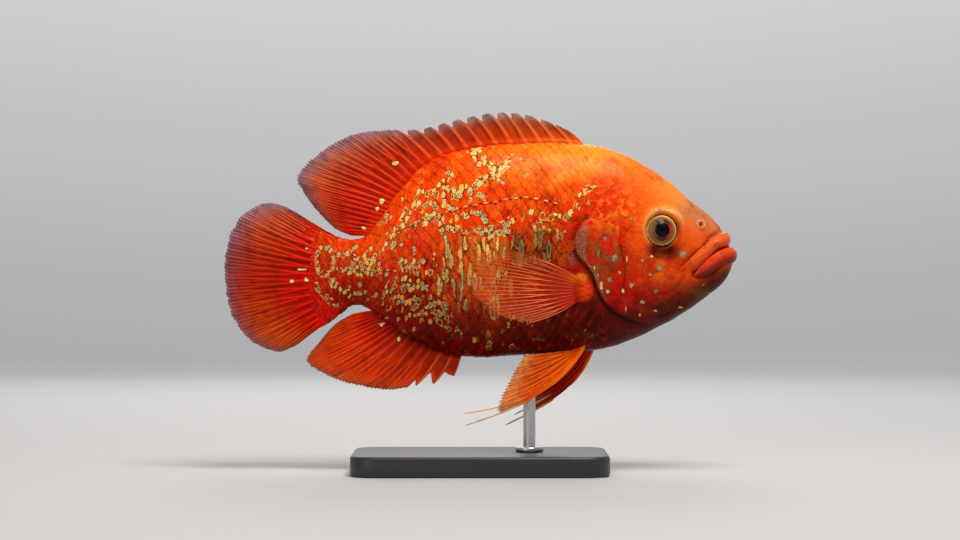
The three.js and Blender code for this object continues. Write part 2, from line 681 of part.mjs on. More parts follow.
// Finishes: colour, roughness and metalness of each kind of piece.
const FINISHES = {
  hide: new THREE.MeshStandardMaterial({ color: 0xe2450f, roughness: 0.38, metalness: 0 }),
  lip: new THREE.MeshStandardMaterial({ color: 0xe8582c, roughness: 0.35, metalness: 0 }),
  fin: new THREE.MeshStandardMaterial({ color: 0xcf2f0a, roughness: 0.45, metalness: 0 }),
  eye: new THREE.MeshStandardMaterial({ color: 0x9a6a26, roughness: 0.12, metalness: 0 }),
  base: new THREE.MeshStandardMaterial({ color: 0x1b1b1d, roughness: 0.4, metalness: 0 }),
  rod: new THREE.MeshStandardMaterial({ color: 0xb9bbbd, roughness: 0.3, metalness: 1 }),
};
function finishOf(name) {
  if (name.includes("fin")) return FINISHES.fin;
  if (name.includes("eye")) return FINISHES.eye;
  if (name.includes("lip")) return FINISHES.lip;
  if (name === "stand_base") return FINISHES.base;
  return name === "stand_rod" ? FINISHES.rod : FINISHES.hide;
}

function addAll(group, solids) {
  for (const [name, solid] of Object.entries(solids)) {
    const mesh = new THREE.Mesh(geometryOf(solid), finishOf(name));
    mesh.name = name;
    group.add(mesh);
  }
  return group;
}

const fish = addAll(new THREE.Group(), { ...makeBody(), ...makeFins() });
fish.position.z = AXIS_HEIGHT;
const oscar = addAll(new THREE.Group(), makeStand());
oscar.add(fish);

export default oscar;
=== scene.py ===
import math

import bpy
import numpy as np
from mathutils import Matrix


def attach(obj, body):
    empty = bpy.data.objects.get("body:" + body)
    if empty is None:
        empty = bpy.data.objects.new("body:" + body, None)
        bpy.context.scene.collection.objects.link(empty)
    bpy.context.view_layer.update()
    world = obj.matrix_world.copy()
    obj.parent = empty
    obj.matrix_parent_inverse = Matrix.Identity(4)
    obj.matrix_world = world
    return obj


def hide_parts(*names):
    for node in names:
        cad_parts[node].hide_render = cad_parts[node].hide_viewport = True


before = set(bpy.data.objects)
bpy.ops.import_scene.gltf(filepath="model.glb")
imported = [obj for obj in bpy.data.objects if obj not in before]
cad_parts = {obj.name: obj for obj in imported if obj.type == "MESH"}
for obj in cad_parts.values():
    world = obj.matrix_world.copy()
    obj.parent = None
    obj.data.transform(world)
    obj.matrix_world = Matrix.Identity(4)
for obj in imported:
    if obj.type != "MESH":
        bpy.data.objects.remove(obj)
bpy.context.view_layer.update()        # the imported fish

# The studio: a pale bowl of floor and wall without a corner, a large soft light above the fish's head, a
# weaker one beside the camera, one behind that shines through the fins and one that lights the wall. The
# camera has a long lens and stands 1.3 metres from the fish's right side, level with its middle.
CAMERA_HEIGHT = 0.0984
CAMERA_DISTANCE = 1.297
bpy.ops.object.select_all(action="DESELECT")
bpy.ops.object.camera_add(location=(0, -CAMERA_DISTANCE, CAMERA_HEIGHT), rotation=(math.radians(90), 0, 0))
camera = bpy.context.object
camera.data.lens = 100
camera.data.sensor_width = 36
bpy.context.scene.camera = camera
bpy.context.scene.view_settings.view_transform = "Standard"

BOWL_RADIUS = 2.3
BOWL_BEND = 1.0
BEND_STEPS = 14
bpy.ops.mesh.primitive_circle_add(vertices=96, radius=BOWL_RADIUS - BOWL_BEND, fill_type="NGON")
studio = bpy.context.object
studio.name = studio.data.name = "studio_floor"
bpy.ops.object.mode_set(mode="EDIT")
bpy.ops.mesh.select_mode(type="EDGE")
bpy.ops.mesh.select_all(action="SELECT")
for step in range(BEND_STEPS):
    turns = [math.radians(90) * k / BEND_STEPS for k in (step, step + 1)]
    inner, outer = (BOWL_RADIUS - BOWL_BEND * (1 - math.sin(turn)) for turn in turns)
    rise = BOWL_BEND * (math.cos(turns[0]) - math.cos(turns[1]))
    bpy.ops.mesh.extrude_edges_move(TRANSFORM_OT_translate={"value": (0, 0, rise)})
    bpy.ops.transform.resize(value=(outer / inner, outer / inner, 1), center_override=(0, 0, 0))
bpy.ops.mesh.extrude_edges_move(TRANSFORM_OT_translate={"value": (0, 0, 0.4)})
bpy.ops.object.mode_set(mode="OBJECT")
bpy.ops.object.shade_smooth()
# The bowl's paint turns from grey on the floor to pale up the wall: painted light that makes up for the lamps'
# light falling off up the wall.
wall_paint = bpy.data.materials.new("studio_paint")
wall_paint.use_nodes = True
paint_tree = wall_paint.node_tree
height = paint_tree.nodes.new("ShaderNodeSeparateXYZ")
paint_tree.links.new(paint_tree.nodes.new("ShaderNodeTexCoord").outputs["Object"], height.inputs[0])
fade = paint_tree.nodes.new("ShaderNodeMapRange")
paint_tree.links.new(height.outputs[2], fade.inputs[0])
fade.inputs[2].default_value = 0.6
shade = paint_tree.nodes.new("ShaderNodeMix")
shade.data_type = "RGBA"
paint_tree.links.new(fade.outputs[0], shade.inputs[0])
shade.inputs[6].default_value = (0.5, 0.51, 0.53, 1)
shade.inputs[7].default_value = (0.86, 0.87, 0.89, 1)
paint_tree.links.new(shade.outputs[2], paint_tree.nodes["Principled BSDF"].inputs["Base Color"])
paint_tree.nodes["Principled BSDF"].inputs["Roughness"].default_value = 0.85
studio.data.materials.append(wall_paint)


def add_soft_light(name, place, aim, size, power, tint):
    """A square soft light that looks at a place and isn't seen itself."""
    bpy.ops.object.light_add(type="AREA", location=place)
    light = bpy.context.object
    light.name = name
    light.data.size = size
    light.data.energy = power
    light.data.color = tint
    light.visible_camera = False
    way = [a - b for a, b in zip(aim, place)]
    light.rotation_euler[0] = math.atan2(math.hypot(way[0], way[1]), -way[2])
    light.rotation_euler[2] = math.atan2(-way[0], way[1])


FISH_MIDDLE = (0.02, 0, 0.1)
add_soft_light("light_above", (0.25, -0.45, 1.05), FISH_MIDDLE, 0.45, 11.5, (1, 0.94, 0.86))
add_soft_light("light_beside", (-0.8, -1.2, 0.48), FISH_MIDDLE, 0.7, 3.4, (1, 0.95, 0.9))
add_soft_light("light_behind", (-0.1, 0.9, 0.75), FISH_MIDDLE, 0.7, 4.5, (1, 0.93, 0.84))
add_soft_light("light_on_wall", (0, 0.9, 1.7), (0, 2.3, 0.5), 1.2, 12, (1, 0.98, 0.96))
studio_air = bpy.data.worlds.new("studio_air")
bpy.context.scene.world = studio_air
studio_air.use_nodes = True
studio_air.node_tree.nodes["Background"].inputs["Color"].default_value = (0.9, 0.9, 0.92, 1)
studio_air.node_tree.nodes["Background"].inputs["Strength"].default_value = 0.33

# The body. The fish is drawn in millimetres round its own axis, head towards +X, and laid down from
# stations between nose and tail. Each station has its back line, its belly line and half its width.
# The skin lies a little inside the full form, so that the scales can stand on it.
MM = 0.001
AXIS_HEIGHT = 98.4
STATIONS = np.array([
    (123.0, 5.8, 3.4, 1.6), (121.2, 13.2, -1.2, 5.6), (117.7, 19.4, -6.2, 8.6), (112.0, 26.1, -11.5, 11.0),
    (103.1, 33.1, -18.0, 13.2), (91.4, 43.3, -25.3, 15.6), (79.8, 51.1, -31.1, 18.2),
    (68.1, 56.9, -36.0, 20.2), (56.4, 60.3, -38.9, 21.0), (40.0, 61.9, -40.2, 21.0),
    (22.0, 61.6, -41.2, 20.2), (4.0, 60.5, -42.3, 18.9), (-12.0, 57.8, -41.6, 17.0),
    (-26.0, 52.2, -37.0, 14.6), (-38.0, 40.4, -30.2, 12.2), (-47.0, 27.6, -24.0, 10.0),
    (-54.0, 18.0, -19.2, 8.2), (-61.0, 15.2, -17.0, 6.4), (-68.0, 16.0, -21.8, 4.2),
    (-75.0, 19.2, -26.8, 2.2), (-81.5, 21.0, -29.0, 0.95), (-87.0, 18.4, -25.0, 0.3),
])
WIDEST_SHARE = 0.52
BACK_SHARPNESS = 1.12
BELLY_SHARPNESS = 0.86
SWAY_START_X = 20
TAIL_SWAY = 5
TAIL_TIP_X = -125


def between(rows, place):
    """A smooth line through like rows, read at places between them: 2.5 is half way from row 2 to row 3."""
    place = np.asarray(place, float)
    start = np.clip(np.floor(place), 0, len(rows) - 2).astype(int)
    share = (place - start)[..., None]
    a, b, c, d = (rows[np.clip(start + k, 0, len(rows) - 1)] for k in (-1, 0, 1, 2))
    out, into, rise = (c - a) / 2, (d - b) / 2, c - b
    return b + share * (out + share * (3 * rise - 2 * out - into + share * (out + into - 2 * rise)))


FINE_PLACES = np.linspace(0, len(STATIONS) - 1, 4000)
FINE_ROWS = between(STATIONS, FINE_PLACES)


def place_at(x):
    """The place among the stations at a given x."""
    return np.interp(-np.asarray(x, float), -FINE_ROWS[:, 0], FINE_PLACES)


def sway(x):
    """How far the tail's swing carries a point to the fish's left."""
    return TAIL_SWAY * (np.maximum(0, SWAY_START_X - x) / (SWAY_START_X - TAIL_TIP_X)) ** 2


def body_point(place, turn, swell=0.0):
    """A point of the body. The turn runs from 0 at the back, over the left flank, to pi at the belly."""
    place, turn = np.broadcast_arrays(np.asarray(place, float), np.asarray(turn, float))
    x, back, belly, half = np.moveaxis(between(STATIONS, place), -1, 0)
    middle = belly + (back - belly) * WIDEST_SHARE
    up, out = np.cos(turn), np.sin(turn)
    reach = np.where(up > 0, back - middle, middle - belly) + swell
    sharpness = np.where(up > 0, BACK_SHARPNESS, BELLY_SHARPNESS)
    y = np.sign(out) * (half + swell) * np.abs(out) ** sharpness
    return np.stack([x, y + sway(x), middle + reach * up], axis=-1)


def body_normal(place, turn):
    """The outward direction at a point of the body."""
    step = 0.03
    along = body_point(place + step, turn) - body_point(place - step, turn)
    across = body_point(place, turn + step) - body_point(place, turn - step)
    normal = np.cross(across, along)
    return normal / np.maximum(np.linalg.norm(normal, axis=-1, keepdims=True), 1e-9)


def half_width(x, z):
    """Half the body's width at a point of its side view."""
    _, back, belly, half = np.moveaxis(between(STATIONS, place_at(x)), -1, 0)
    middle = belly + (back - belly) * WIDEST_SHARE
    up = np.clip((z - middle) / np.where(z > middle, back - middle, middle - belly), -1, 1)
    return half * np.sqrt(1 - up**2) ** np.where(up > 0, BACK_SHARPNESS, BELLY_SHARPNESS)


def smooth_step(low, high, value):
    """A soft step from 0 at one value to 1 at another."""
    share = np.clip((value - low) / (high - low), 0, 1)
    return share * share * (3 - 2 * share)


def line_distance(line, x, z):
    """Distance to a line of points in the side view, positive on its right-hand side, and the share of the
    line that has been passed there."""
    x, z = np.asarray(x, float), np.asarray(z, float)
    best = np.full(x.shape, 1e9)
    signed = np.zeros(x.shape)
    passed = np.zeros(x.shape)
    line = np.asarray(line, float)
    for k, ((ax, az), (bx, bz)) in enumerate(zip(line[:-1], line[1:])):
        dx, dz = bx - ax, bz - az
        share = np.clip(((x - ax) * dx + (z - az) * dz) / (dx * dx + dz * dz), 0, 1)
        ox, oz = x - ax - share * dx, z - az - share * dz
        far = np.hypot(ox, oz)
        nearer = far < best
        best = np.where(nearer, far, best)
        signed = np.where(nearer, far * np.sign(ox * dz - oz * dx), signed)
        passed = np.where(nearer, (k + share) / (len(line) - 1), passed)
    return signed, passed


def smooth_line(points, count=40):
    """A line of many points through a few."""
    points = np.asarray(points, float)
    return between(points, np.linspace(0, len(points) - 1, count))


# The head's forms, all drawn in the side view: the gill cover's free rear edge and the slit behind it, the
# groove in front of it, the folds of cheek and jaw, the raised rim round the eye, the nostril and the
# muscular root of the pectoral fin.
GILL_EDGE = smooth_line([
    (54.5, 27.0), (50.4, 24.0), (46.6, 18.6), (45.3, 13.0), (46.6, 7.6), (51.0, 2.6), (54.4, -2.2),
    (56.4, -8.0), (59.0, -13.5), (62.6, -18.2), (68.3, -21.8), (76.0, -24.4), (87.0, -25.6),
])
CHEEK_GROOVE = smooth_line([(66.0, 16.0), (67.6, 9.0), (69.6, 1.0), (69.0, -8.0), (72.0, -13.5)])
JAW_FOLD = smooth_line([(98.8, 1.4), (97.6, -4.0), (92.6, -10.0), (86.0, -11.6), (79.0, -9.0)])
CHIN_CREASE = smooth_line([(101.5, -3.0), (106.0, -3.6), (111.4, -2.2), (116.0, 1.6), (119.6, 4.0)])
LIP_CREASE = smooth_line([
    (118.4, 19.6), (115.2, 18.2), (111.4, 16.0), (109.0, 12.8), (106.2, 9.6), (103.6, 7.6), (99.0, 3.8),
    (96.6, 1.0),
])
MOUTH_LINE = smooth_line([
    (122, 11.0), (116.2, 9.9), (112.3, 8.0), (109.7, 5.5), (108, 2.4), (105.5, -0.6), (102, -2),
])
THROAT_FOLDS = [
    smooth_line([(76.4, -16.6), (84.8, -17.9), (91.2, -14.8), (97.0, -10.5)]),
    smooth_line([(78.0, -21.0), (87.0, -22.0), (96.0, -18.0)]),
]
SHOULDER_SLIT = smooth_line([(41.6, 22.5), (46.4, 24.0), (50.8, 24.4), (54.0, 26.5)])
BROW_VEIN = smooth_line([(83.2, 31.2), (86.2, 33.6), (88.6, 36.0), (91.4, 37.0)])
EYE_CENTRE = (87.4, 19.2)
EYE_RADIUS = 7.9
ORBIT_CENTRE = (88.6, 18.8)
NOSTRIL_CENTRE = (106.7, 22.0)
FIN_ROOT_CENTRE = (49.6, -9.6)
ORBIT_REACH = (9.3, 10.6)
HEAD_GROOVES = [    # each line with the depth and half width of its groove, and how long its ends fade
    (CHEEK_GROOVE, 0.6, 0.6, 0.25), (JAW_FOLD, 0.7, 1.1, 0.3), (CHIN_CREASE, 0.8, 0.9, 0.08),
    (LIP_CREASE, 1.0, 0.9, 0.04), (MOUTH_LINE, 2.4, 1.2, 0.02), (THROAT_FOLDS[0], 0.45, 0.7, 0.3),
    (THROAT_FOLDS[1], 0.45, 0.7, 0.3), (SHOULDER_SLIT, 0.8, 0.8, 0.08), (BROW_VEIN, -0.25, 0.5, 0.08),
]
HEAD_SWELLS = [    # middle, reach and height of each soft muscle or hollow
    ((78, 3), 9, 9, 0.8), ((62, 12), 7, 9, 0.5), ((98, 14), 5, 7, -0.5), ((93, -1), 6, 4, 0.5),
    ((96, -6), 4, 3, 0.7), ((113, -6), 6, 4, 0.4), (FIN_ROOT_CENTRE, 4.6, 5.4, 1.5),
    ((47.2, -3.4), 2.6, 2.0, 1.2),
]


def bell(off, width):
    """A soft bump, 1 where nothing is off the middle."""
    return np.exp(-((off / width) ** 2))


def orbit_share(x, z):
    """How far out of the orbit's middle a place lies, 1 on the raised rim."""
    return np.hypot((x - ORBIT_CENTRE[0]) / ORBIT_REACH[0], (z - ORBIT_CENTRE[1]) / ORBIT_REACH[1])


def hump(x, z, centre, reach_x, reach_z):
    """A round soft hump in the side view, 1 at its centre."""
    return np.exp(-(((x - centre[0]) / reach_x) ** 2) - ((z - centre[1]) / reach_z) ** 2)


def groove(line, x, z, width, fade=0.08):
    """A groove along a line, 1 at its middle, that dies out at both ends."""
    distance, passed = line_distance(line, x, z)
    ends = smooth_step(0, fade, passed) * (1 - smooth_step(1 - fade, 1, passed))
    return bell(distance, width) * ends


def flap_width(z):
    """Breadth of the soft flap that edges the gill cover."""
    return 0.6 + 5.2 * bell(z - 13.2, 6.4)


def cover_distance(x, z):
    """How far in front of the gill cover's free edge a point lies, and the share of the edge passed there."""
    behind, passed = line_distance(GILL_EDGE, x, z)
    return -behind, passed


def relief(x, z):
    """How far the skin stands out of the plain body, in millimetres, by its place in the side view."""
    x, z = np.asarray(x, float), np.asarray(z, float)
    height = np.zeros(x.shape)
    near = (x > 30) & (x < 126)
    u, w = x[near], z[near]
    gill, passed = cover_distance(u, w)
    ends = smooth_step(0, 0.1, passed) * (1 - smooth_step(0.8, 1, passed))
    cover = smooth_step(-0.35, 0.2, gill) * bell(np.maximum(gill, 0), 15)
    lift = 1.3 * cover - 0.7 * bell(gill + 0.8, 0.7) + 0.15 * bell(gill - 0.6, 0.4)
    lift -= 0.35 * bell(gill - flap_width(w), 0.8) * hump(u, w, (51, 11), 7, 8)
    form = lift * ends
    for line, depth, width, fade in HEAD_GROOVES:
        form -= depth * groove(line, u, w, width, fade)
    for centre, reach_x, reach_z, swell in HEAD_SWELLS:
        form += swell * hump(u, w, centre, reach_x, reach_z)
    orbit = orbit_share(u, w)
    upper = 0.65 + 0.35 * np.tanh((w - ORBIT_CENTRE[1] - 0.4 * (u - ORBIT_CENTRE[0])) / 4)
    form += 0.95 * bell(orbit - 1.02, 0.15) * upper - 0.35 * bell(orbit - 1.34, 0.1)
    socket = np.hypot(u - EYE_CENTRE[0], w - EYE_CENTRE[1])
    form = np.where(socket < EYE_RADIUS + 1.2, form - 3.2 * smooth_step(9.0, 7.0, socket), form)
    nostril = np.hypot(u - NOSTRIL_CENTRE[0], w - NOSTRIL_CENTRE[1])
    form += 0.55 * bell(nostril - 1.7, 0.6) - 1.6 * bell(nostril, 0.8)
    height[near] = form
    lumps = np.sin(x * 0.31 + 1.3 * np.sin(z * 0.23)) * np.sin(z * 0.27 + 1.1 * np.sin(x * 0.19))
    return height + 0.16 * lumps * smooth_step(-60, -40, x)


SKIN_INSET = 0.5


def inset(x):
    """How far the skin lies inside the full form: by the scales' thickness, but not on the head."""
    return SKIN_INSET * smooth_step(66, 50, x)


def skin_point(place, turn, height=0.0):
    """A point of the finished skin, or one a little above it."""
    plain = body_point(place, turn)
    x, z = plain[..., 0], plain[..., 2]
    stand = relief(x, z) - inset(x) + height
    sides = np.abs(np.sin(turn)) ** 0.5
    return plain + body_normal(place, turn) * (stand * np.where(stand < -0.8, sides, 1))[..., None]


def add_grid(name, columns, rows):
    """A flat grid to be shaped, with each vertex's place in it, from 0 to 1 both ways."""
    bpy.ops.object.select_all(action="DESELECT")
    bpy.ops.mesh.primitive_grid_add(x_subdivisions=columns, y_subdivisions=rows, size=1)
    piece = bpy.context.object
    piece.name = piece.data.name = name
    flat = np.empty(len(piece.data.vertices) * 3)
    piece.data.vertices.foreach_get("co", flat)
    return piece, flat[0::3] + 0.5, flat[1::3] + 0.5


def shape_piece(piece, points):
    """Moves a piece's vertices to points that are given in millimetres round the fish's axis."""
    world = (points + np.array([0, 0, AXIS_HEIGHT])) * MM
    piece.data.vertices.foreach_set("co", world.astype(np.float32).ravel())
    piece.data.update()


def pick(*pieces):
    """Selects pieces and nothing else, the first of them as the active one."""
    bpy.ops.object.select_all(action="DESELECT")
    for piece in pieces:
        piece.select_set(True)
    bpy.context.view_layer.objects.active = pieces[0]


def close_piece(piece):
    """Merges the vertices that meet, turns the faces outwards and shades the piece smooth."""
    pick(piece)
    bpy.ops.object.mode_set(mode="EDIT")
    bpy.ops.mesh.select_all(action="SELECT")
    bpy.ops.mesh.remove_doubles(threshold=0.000004)
    bpy.ops.mesh.normals_make_consistent(inside=False)
    bpy.ops.object.mode_set(mode="OBJECT")
    bpy.ops.object.shade_smooth()


def colour_points(piece, **layers):
    """Keeps colours, or up to four masks, with each vertex of a piece, for its material to read."""
    for name, values in layers.items():
        values = np.stack(values, axis=1) if isinstance(values, tuple) else values
        layer = piece.data.attributes.new(name, "FLOAT_COLOR", "POINT")
        full = np.ones((len(piece.data.vertices), 4), np.float32)
        full[:, : values.shape[1]] = values
        layer.data.foreach_set("color", full.ravel())


# The fish's colours, as a painter would lay them down: one wash of colour for each region, with its middle
# and its reach in the side view, and soft borders between them. Skin and scales share them.
def dye(code):
    """A colour from its hexadecimal code, as light."""
    parts = np.array([int(code[k : k + 2], 16) / 255 for k in (0, 2, 4)])
    return np.where(parts <= 0.04045, parts / 12.92, ((parts + 0.055) / 1.055) ** 2.4)


# The dark washes of the belly, throat and chin, darkest below the pectoral fin's root, are partly the fish's
# own colour and partly painted shade from the light above.
WASHES = [
    (96, 42, 15, 9, "F59038"), (62, 62, 22, 9, "FF9634"), (75, 38, 15, 12, "F06410"),
    (35, 52, 24, 9, "FF8A28"), (5, 50, 28, 12, "F44606"), (-30, 40, 16, 14, "F43C06"),
    (108, 28, 12, 8, "B4784C"), (103, 16, 9, 8, "E65408"), (78, 22, 8, 10, "F06A14"),
    (66, 30, 10, 9, "F02C04"), (80, 2, 10, 8, "D23C08"), (95, -2, 8, 6, "DA4408"), (88, 6, 6, 4, "B23006"),
    (66, 12, 7, 8, "C42404"), (58, 4, 8, 10, "9E2E0C"), (68, -14, 10, 8, "960402"),
    (84, -22, 12, 7, "430A04"), (106, -14, 9, 7, "481002"), (96, -20, 10, 6, "451204"),
    (48, 32, 10, 9, "D02404"), (32, 15, 14, 11, "B03008"), (0, 26, 24, 14, "EC3406"),
    (-8, 2, 18, 12, "D22405"), (12, -12, 24, 12, "980E03"), (30, -30, 28, 9, "480302"),
    (-10, -32, 22, 9, "520302"), (-34, -14, 14, 9, "960E03"), (-34, 8, 14, 9, "D02004"),
    (-54, 14, 12, 6, "F44408"), (-62, 3, 10, 6, "B41C04"), (-62, -12, 10, 6, "700502"),
    (-80, 4, 10, 14, "C00C03"), (-76, 16, 7, 6, "DC2804"), (-78, -20, 8, 8, "B80A02"),
    (68.4, 7, 2.8, 11, "C80602"), (72.5, -7, 4.8, 7, "D20802"), (76.5, 12, 4.5, 9, "EC6414"),
    (86, -1, 6.5, 5, "DA5010"), (74, -21, 11, 4.5, "380503"), (58, 9, 5, 9, "A04A16"),
    (0, 3, 6, 11, "C86A22"), (6, -6, 3.5, 12, "E07A1C"), (56, 36, 9, 8, "EE3203"), (28, 8, 11, 9, "6C280A"),
    (26, 8, 11, 6, "30200A"), (20, 9, 6, 5, "30200A"), (62, 27, 3.6, 3.2, "F88C14"),
    (66, 16, 2.6, 5, "D40A02"), (43, 9, 2.6, 8, "A81204"), (44, 19, 3.5, 4, "D41804"),
    (47.5, -1, 3, 4, "9C0A02"), (60, 15, 4.5, 5, "7A4A1C"), (61.5, 5, 3.5, 5, "7A4818"),
    (50, -20, 10, 6, "1E0201"), (46, -21, 9, 5, "1E0201"), (36, -27, 16, 6, "380402"),
    (66, -4, 4, 5, "A80603"), (58, -4, 3.5, 4, "8C3A10"), (-11, -4, 5, 14, "983010"),
    (-36, -14, 13, 9, "960602"), (-66, 14, 9, 4, "E84406"), (-14, 50, 12, 8, "F03A04"),
    (44, 34, 8, 7, "D02E06"), (56, 30, 7, 8, "EE2C04"), (-3, -19, 9, 8, "5E0402"),
    (-24, -12, 12, 9, "780502"), (-30, -19, 12, 6, "640402"), (-75.6, 4.4, 3, 4.4, "980602"),
    (87, -9, 9, 4, "A01604"), (76, -15, 8, 4, "8A0603"),
]


def washed(washes, x, z):
    """The colour that overlapping washes give at places of a plane."""
    x, z = np.asarray(x, float), np.asarray(z, float)
    total = np.zeros(x.shape + (3,))
    weight = np.full(x.shape, 1e-9)
    for at_x, at_z, reach_x, reach_z, code in washes:
        part = np.exp(-0.9 * (((x - at_x) / reach_x) ** 2 + ((z - at_z) / reach_z) ** 2)) + 1e-7
        total += part[..., None] * dye(code)
        weight += part
    return total / weight[..., None]


def paint(x, z):
    """The fish's ground colour at places of the side view."""
    return washed(WASHES, x, z)


# Pale marks. Oscars carry cream and green flecks on single scales, strewn along bands. Each band is a line
# in the side view with its breadth, how much cream and green its scales carry and how tall the flecks are.
FLECK_BANDS = [
    ([(-4, 59), (0, 55), (5, 51), (8, 49), (14, 53)], 2.8, 1.0, 0.05, 0.8),
    ([(12, 52), (7, 46), (0, 42), (-8, 39), (-17, 36)], 2.4, 0.95, 0.15, 0.6),
    ([(-15, 46), (-17, 42), (-18, 36), (-17, 30), (-20, 27), (-17, 20)], 2.0, 0.85, 0.3, 0.8),
    ([(-16, 30), (-7, 27), (0, 28), (3, 24), (8, 21), (14, 23)], 2.4, 0.95, 1.0, 0.5),
    ([(-18, 21), (-8, 19), (0, 18), (8, 19), (13, 17)], 2.2, 0.9, 0.9, 0.5),
    ([(-10, 35), (-4, 36), (1, 35)], 2.0, 0.8, 1.0, 0.4),
    ([(-17, 18), (-14, 8), (-13, 0), (-11, -10), (-9, -24)], 2.0, 0.85, 0.7, 1.1),
    ([(-9, 17), (-8, 6), (-7, -8), (-6, -18)], 1.8, 0.8, 0.5, 1.1),
    ([(-3, 17), (-3, 4), (-3, -10), (-2, -18)], 1.8, 0.85, 0.5, 1.1),
    ([(5.5, 16), (6.5, 2), (6, -12), (8, -22)], 2.2, 0.95, 0.2, 1.2),
    ([(1, 15), (1.5, 2), (1, -10)], 1.6, 0.7, 0.5, 1.1),
    ([(12, 18), (11.5, 10), (10.5, -6)], 1.7, 0.85, 0.4, 1.2),
    ([(18, 17), (17.5, 4)], 2.5, 0.9, 0.9, 1.1),
    ([(23, 17), (23, 5)], 2.5, 0.9, 0.9, 1.1),
    ([(28, 18), (28, 6)], 2.5, 0.85, 0.9, 1.1),
    ([(33, 18), (32, 6)], 2.3, 0.8, 0.9, 1.1),
    ([(-23, 25), (-31, 24), (-36, 20)], 1.8, 0.85, 0.2, 0.7),
    ([(-20, 36), (-27, 38), (-33, 30), (-37, 25)], 2.6, 0.75, 0.1, 0.8),
    ([(-24, 24), (-32, 21), (-41, 20), (-44, 16), (-43, 12)], 2.0, 0.95, 0.1, 0.5),
    ([(-64, 8), (-60, 6), (-53, 4), (-48, 7), (-43, 12)], 2.0, 0.9, 0.3, 0.6),
    ([(-68, 0.8), (-60, 0), (-54, -1), (-47, 0)], 2.2, 0.9, 0.5, 0.6),
    ([(-70, -7), (-64, -12), (-57, -11), (-50, -12)], 2.0, 0.85, 0.5, 0.7),
    ([(-44, -7), (-42, -12), (-36, -16), (-30, -19), (-22, -20), (-16, -27)], 2.6, 0.85, 0.6, 0.8),
    ([(-38, 4), (-35, -4), (-33, -10), (-30, -18)], 2.4, 0.8, 0.5, 0.9),
    ([(-28, 4), (-28, -4), (-27, -8)], 2.2, 0.75, 0.6, 0.9),
    ([(-20, 2), (-19, -4), (-20, -10)], 1.8, 0.7, 0.4, 1.0),
    ([(38, 23), (45, 28), (48, 35), (52, 39), (57, 40)], 1.7, 1.0, 0.05, 0.7),
    ([(25, 27), (36, 25)], 1.8, 0.9, 0.05, 0.7),
    ([(14, -22), (19, -24), (24, -25)], 2.0, 0.7, 0.4, 0.8),
    ([(-80, -7), (-77, -12), (-70, -17)], 1.6, 0.9, 0.4, 0.6),
    ([(-72, 1), (-71.5, -6), (-70, -9)], 1.5, 0.85, 0.4, 0.6),
]
# Looser flecks: middle and reach of each cloud, the share of its scales that have one, and how green.
FLECK_CLOUDS = [
    (-32, -7, 20, 18, 0.75, 0.5), (-54, 1, 14, 11, 0.6, 0.3), (-8, -16, 18, 16, 0.6, 0.5),
    (-16, 30, 18, 10, 0.42, 0.2), (8, 48, 16, 8, 0.35, 0.05), (28, 16, 14, 8, 0.3, 0.15),
    (-40, 28, 10, 12, 0.35, 0.05), (10, -30, 18, 6, 0.25, 0.4), (40, 30, 14, 12, 0.14, 0.0),
]
OCELLUS_CENTRE = (-75.6, 4.4)
OCELLUS_REACH = (4.5, 6.5)
FLECK_SHARE = 0.86
LOOSE_SHARE = 0.7


def fleck_amount(x, z):
    """How thickly the flecks are strewn at places of the side view, how many have a green core, how bright
    they are, and how tall."""
    x, z = np.asarray(x, float), np.asarray(z, float)
    strewn, green, tall = np.zeros(x.shape), np.zeros(x.shape), np.full(x.shape, 0.75)
    for line, breadth, creamy, greenish, length in FLECK_BANDS:
        distance, _ = line_distance(line, x, z)
        near = np.exp(-((distance / breadth) ** 4))
        tall = np.where(near * creamy > strewn, length, tall)
        strewn = np.maximum(strewn, near * creamy)
        green = np.maximum(green, near * greenish)
    strewn = FLECK_SHARE * strewn
    for at_x, at_z, reach_x, reach_z, share, greenish in FLECK_CLOUDS:
        near = hump(x, z, (at_x, at_z), reach_x, reach_z)
        green = np.where(near * share * LOOSE_SHARE > strewn, np.maximum(green, greenish), green)
        strewn = np.maximum(strewn, near * share * LOOSE_SHARE)
    ring = np.hypot((x - OCELLUS_CENTRE[0]) / OCELLUS_REACH[0], (z - OCELLUS_CENTRE[1]) / OCELLUS_REACH[1])
    circle = np.exp(-(((ring - 1) / 0.26) ** 4))
    strewn = np.maximum(strewn * (1 - np.exp(-((ring / 0.85) ** 6))), circle * 0.95)
    bright = smooth_step(-28, 19, z) * (1 - 0.9 * smooth_step(21, 17, z) * smooth_step(10, 17, x))
    return strewn, np.maximum(green, circle * 0.45), bright, tall


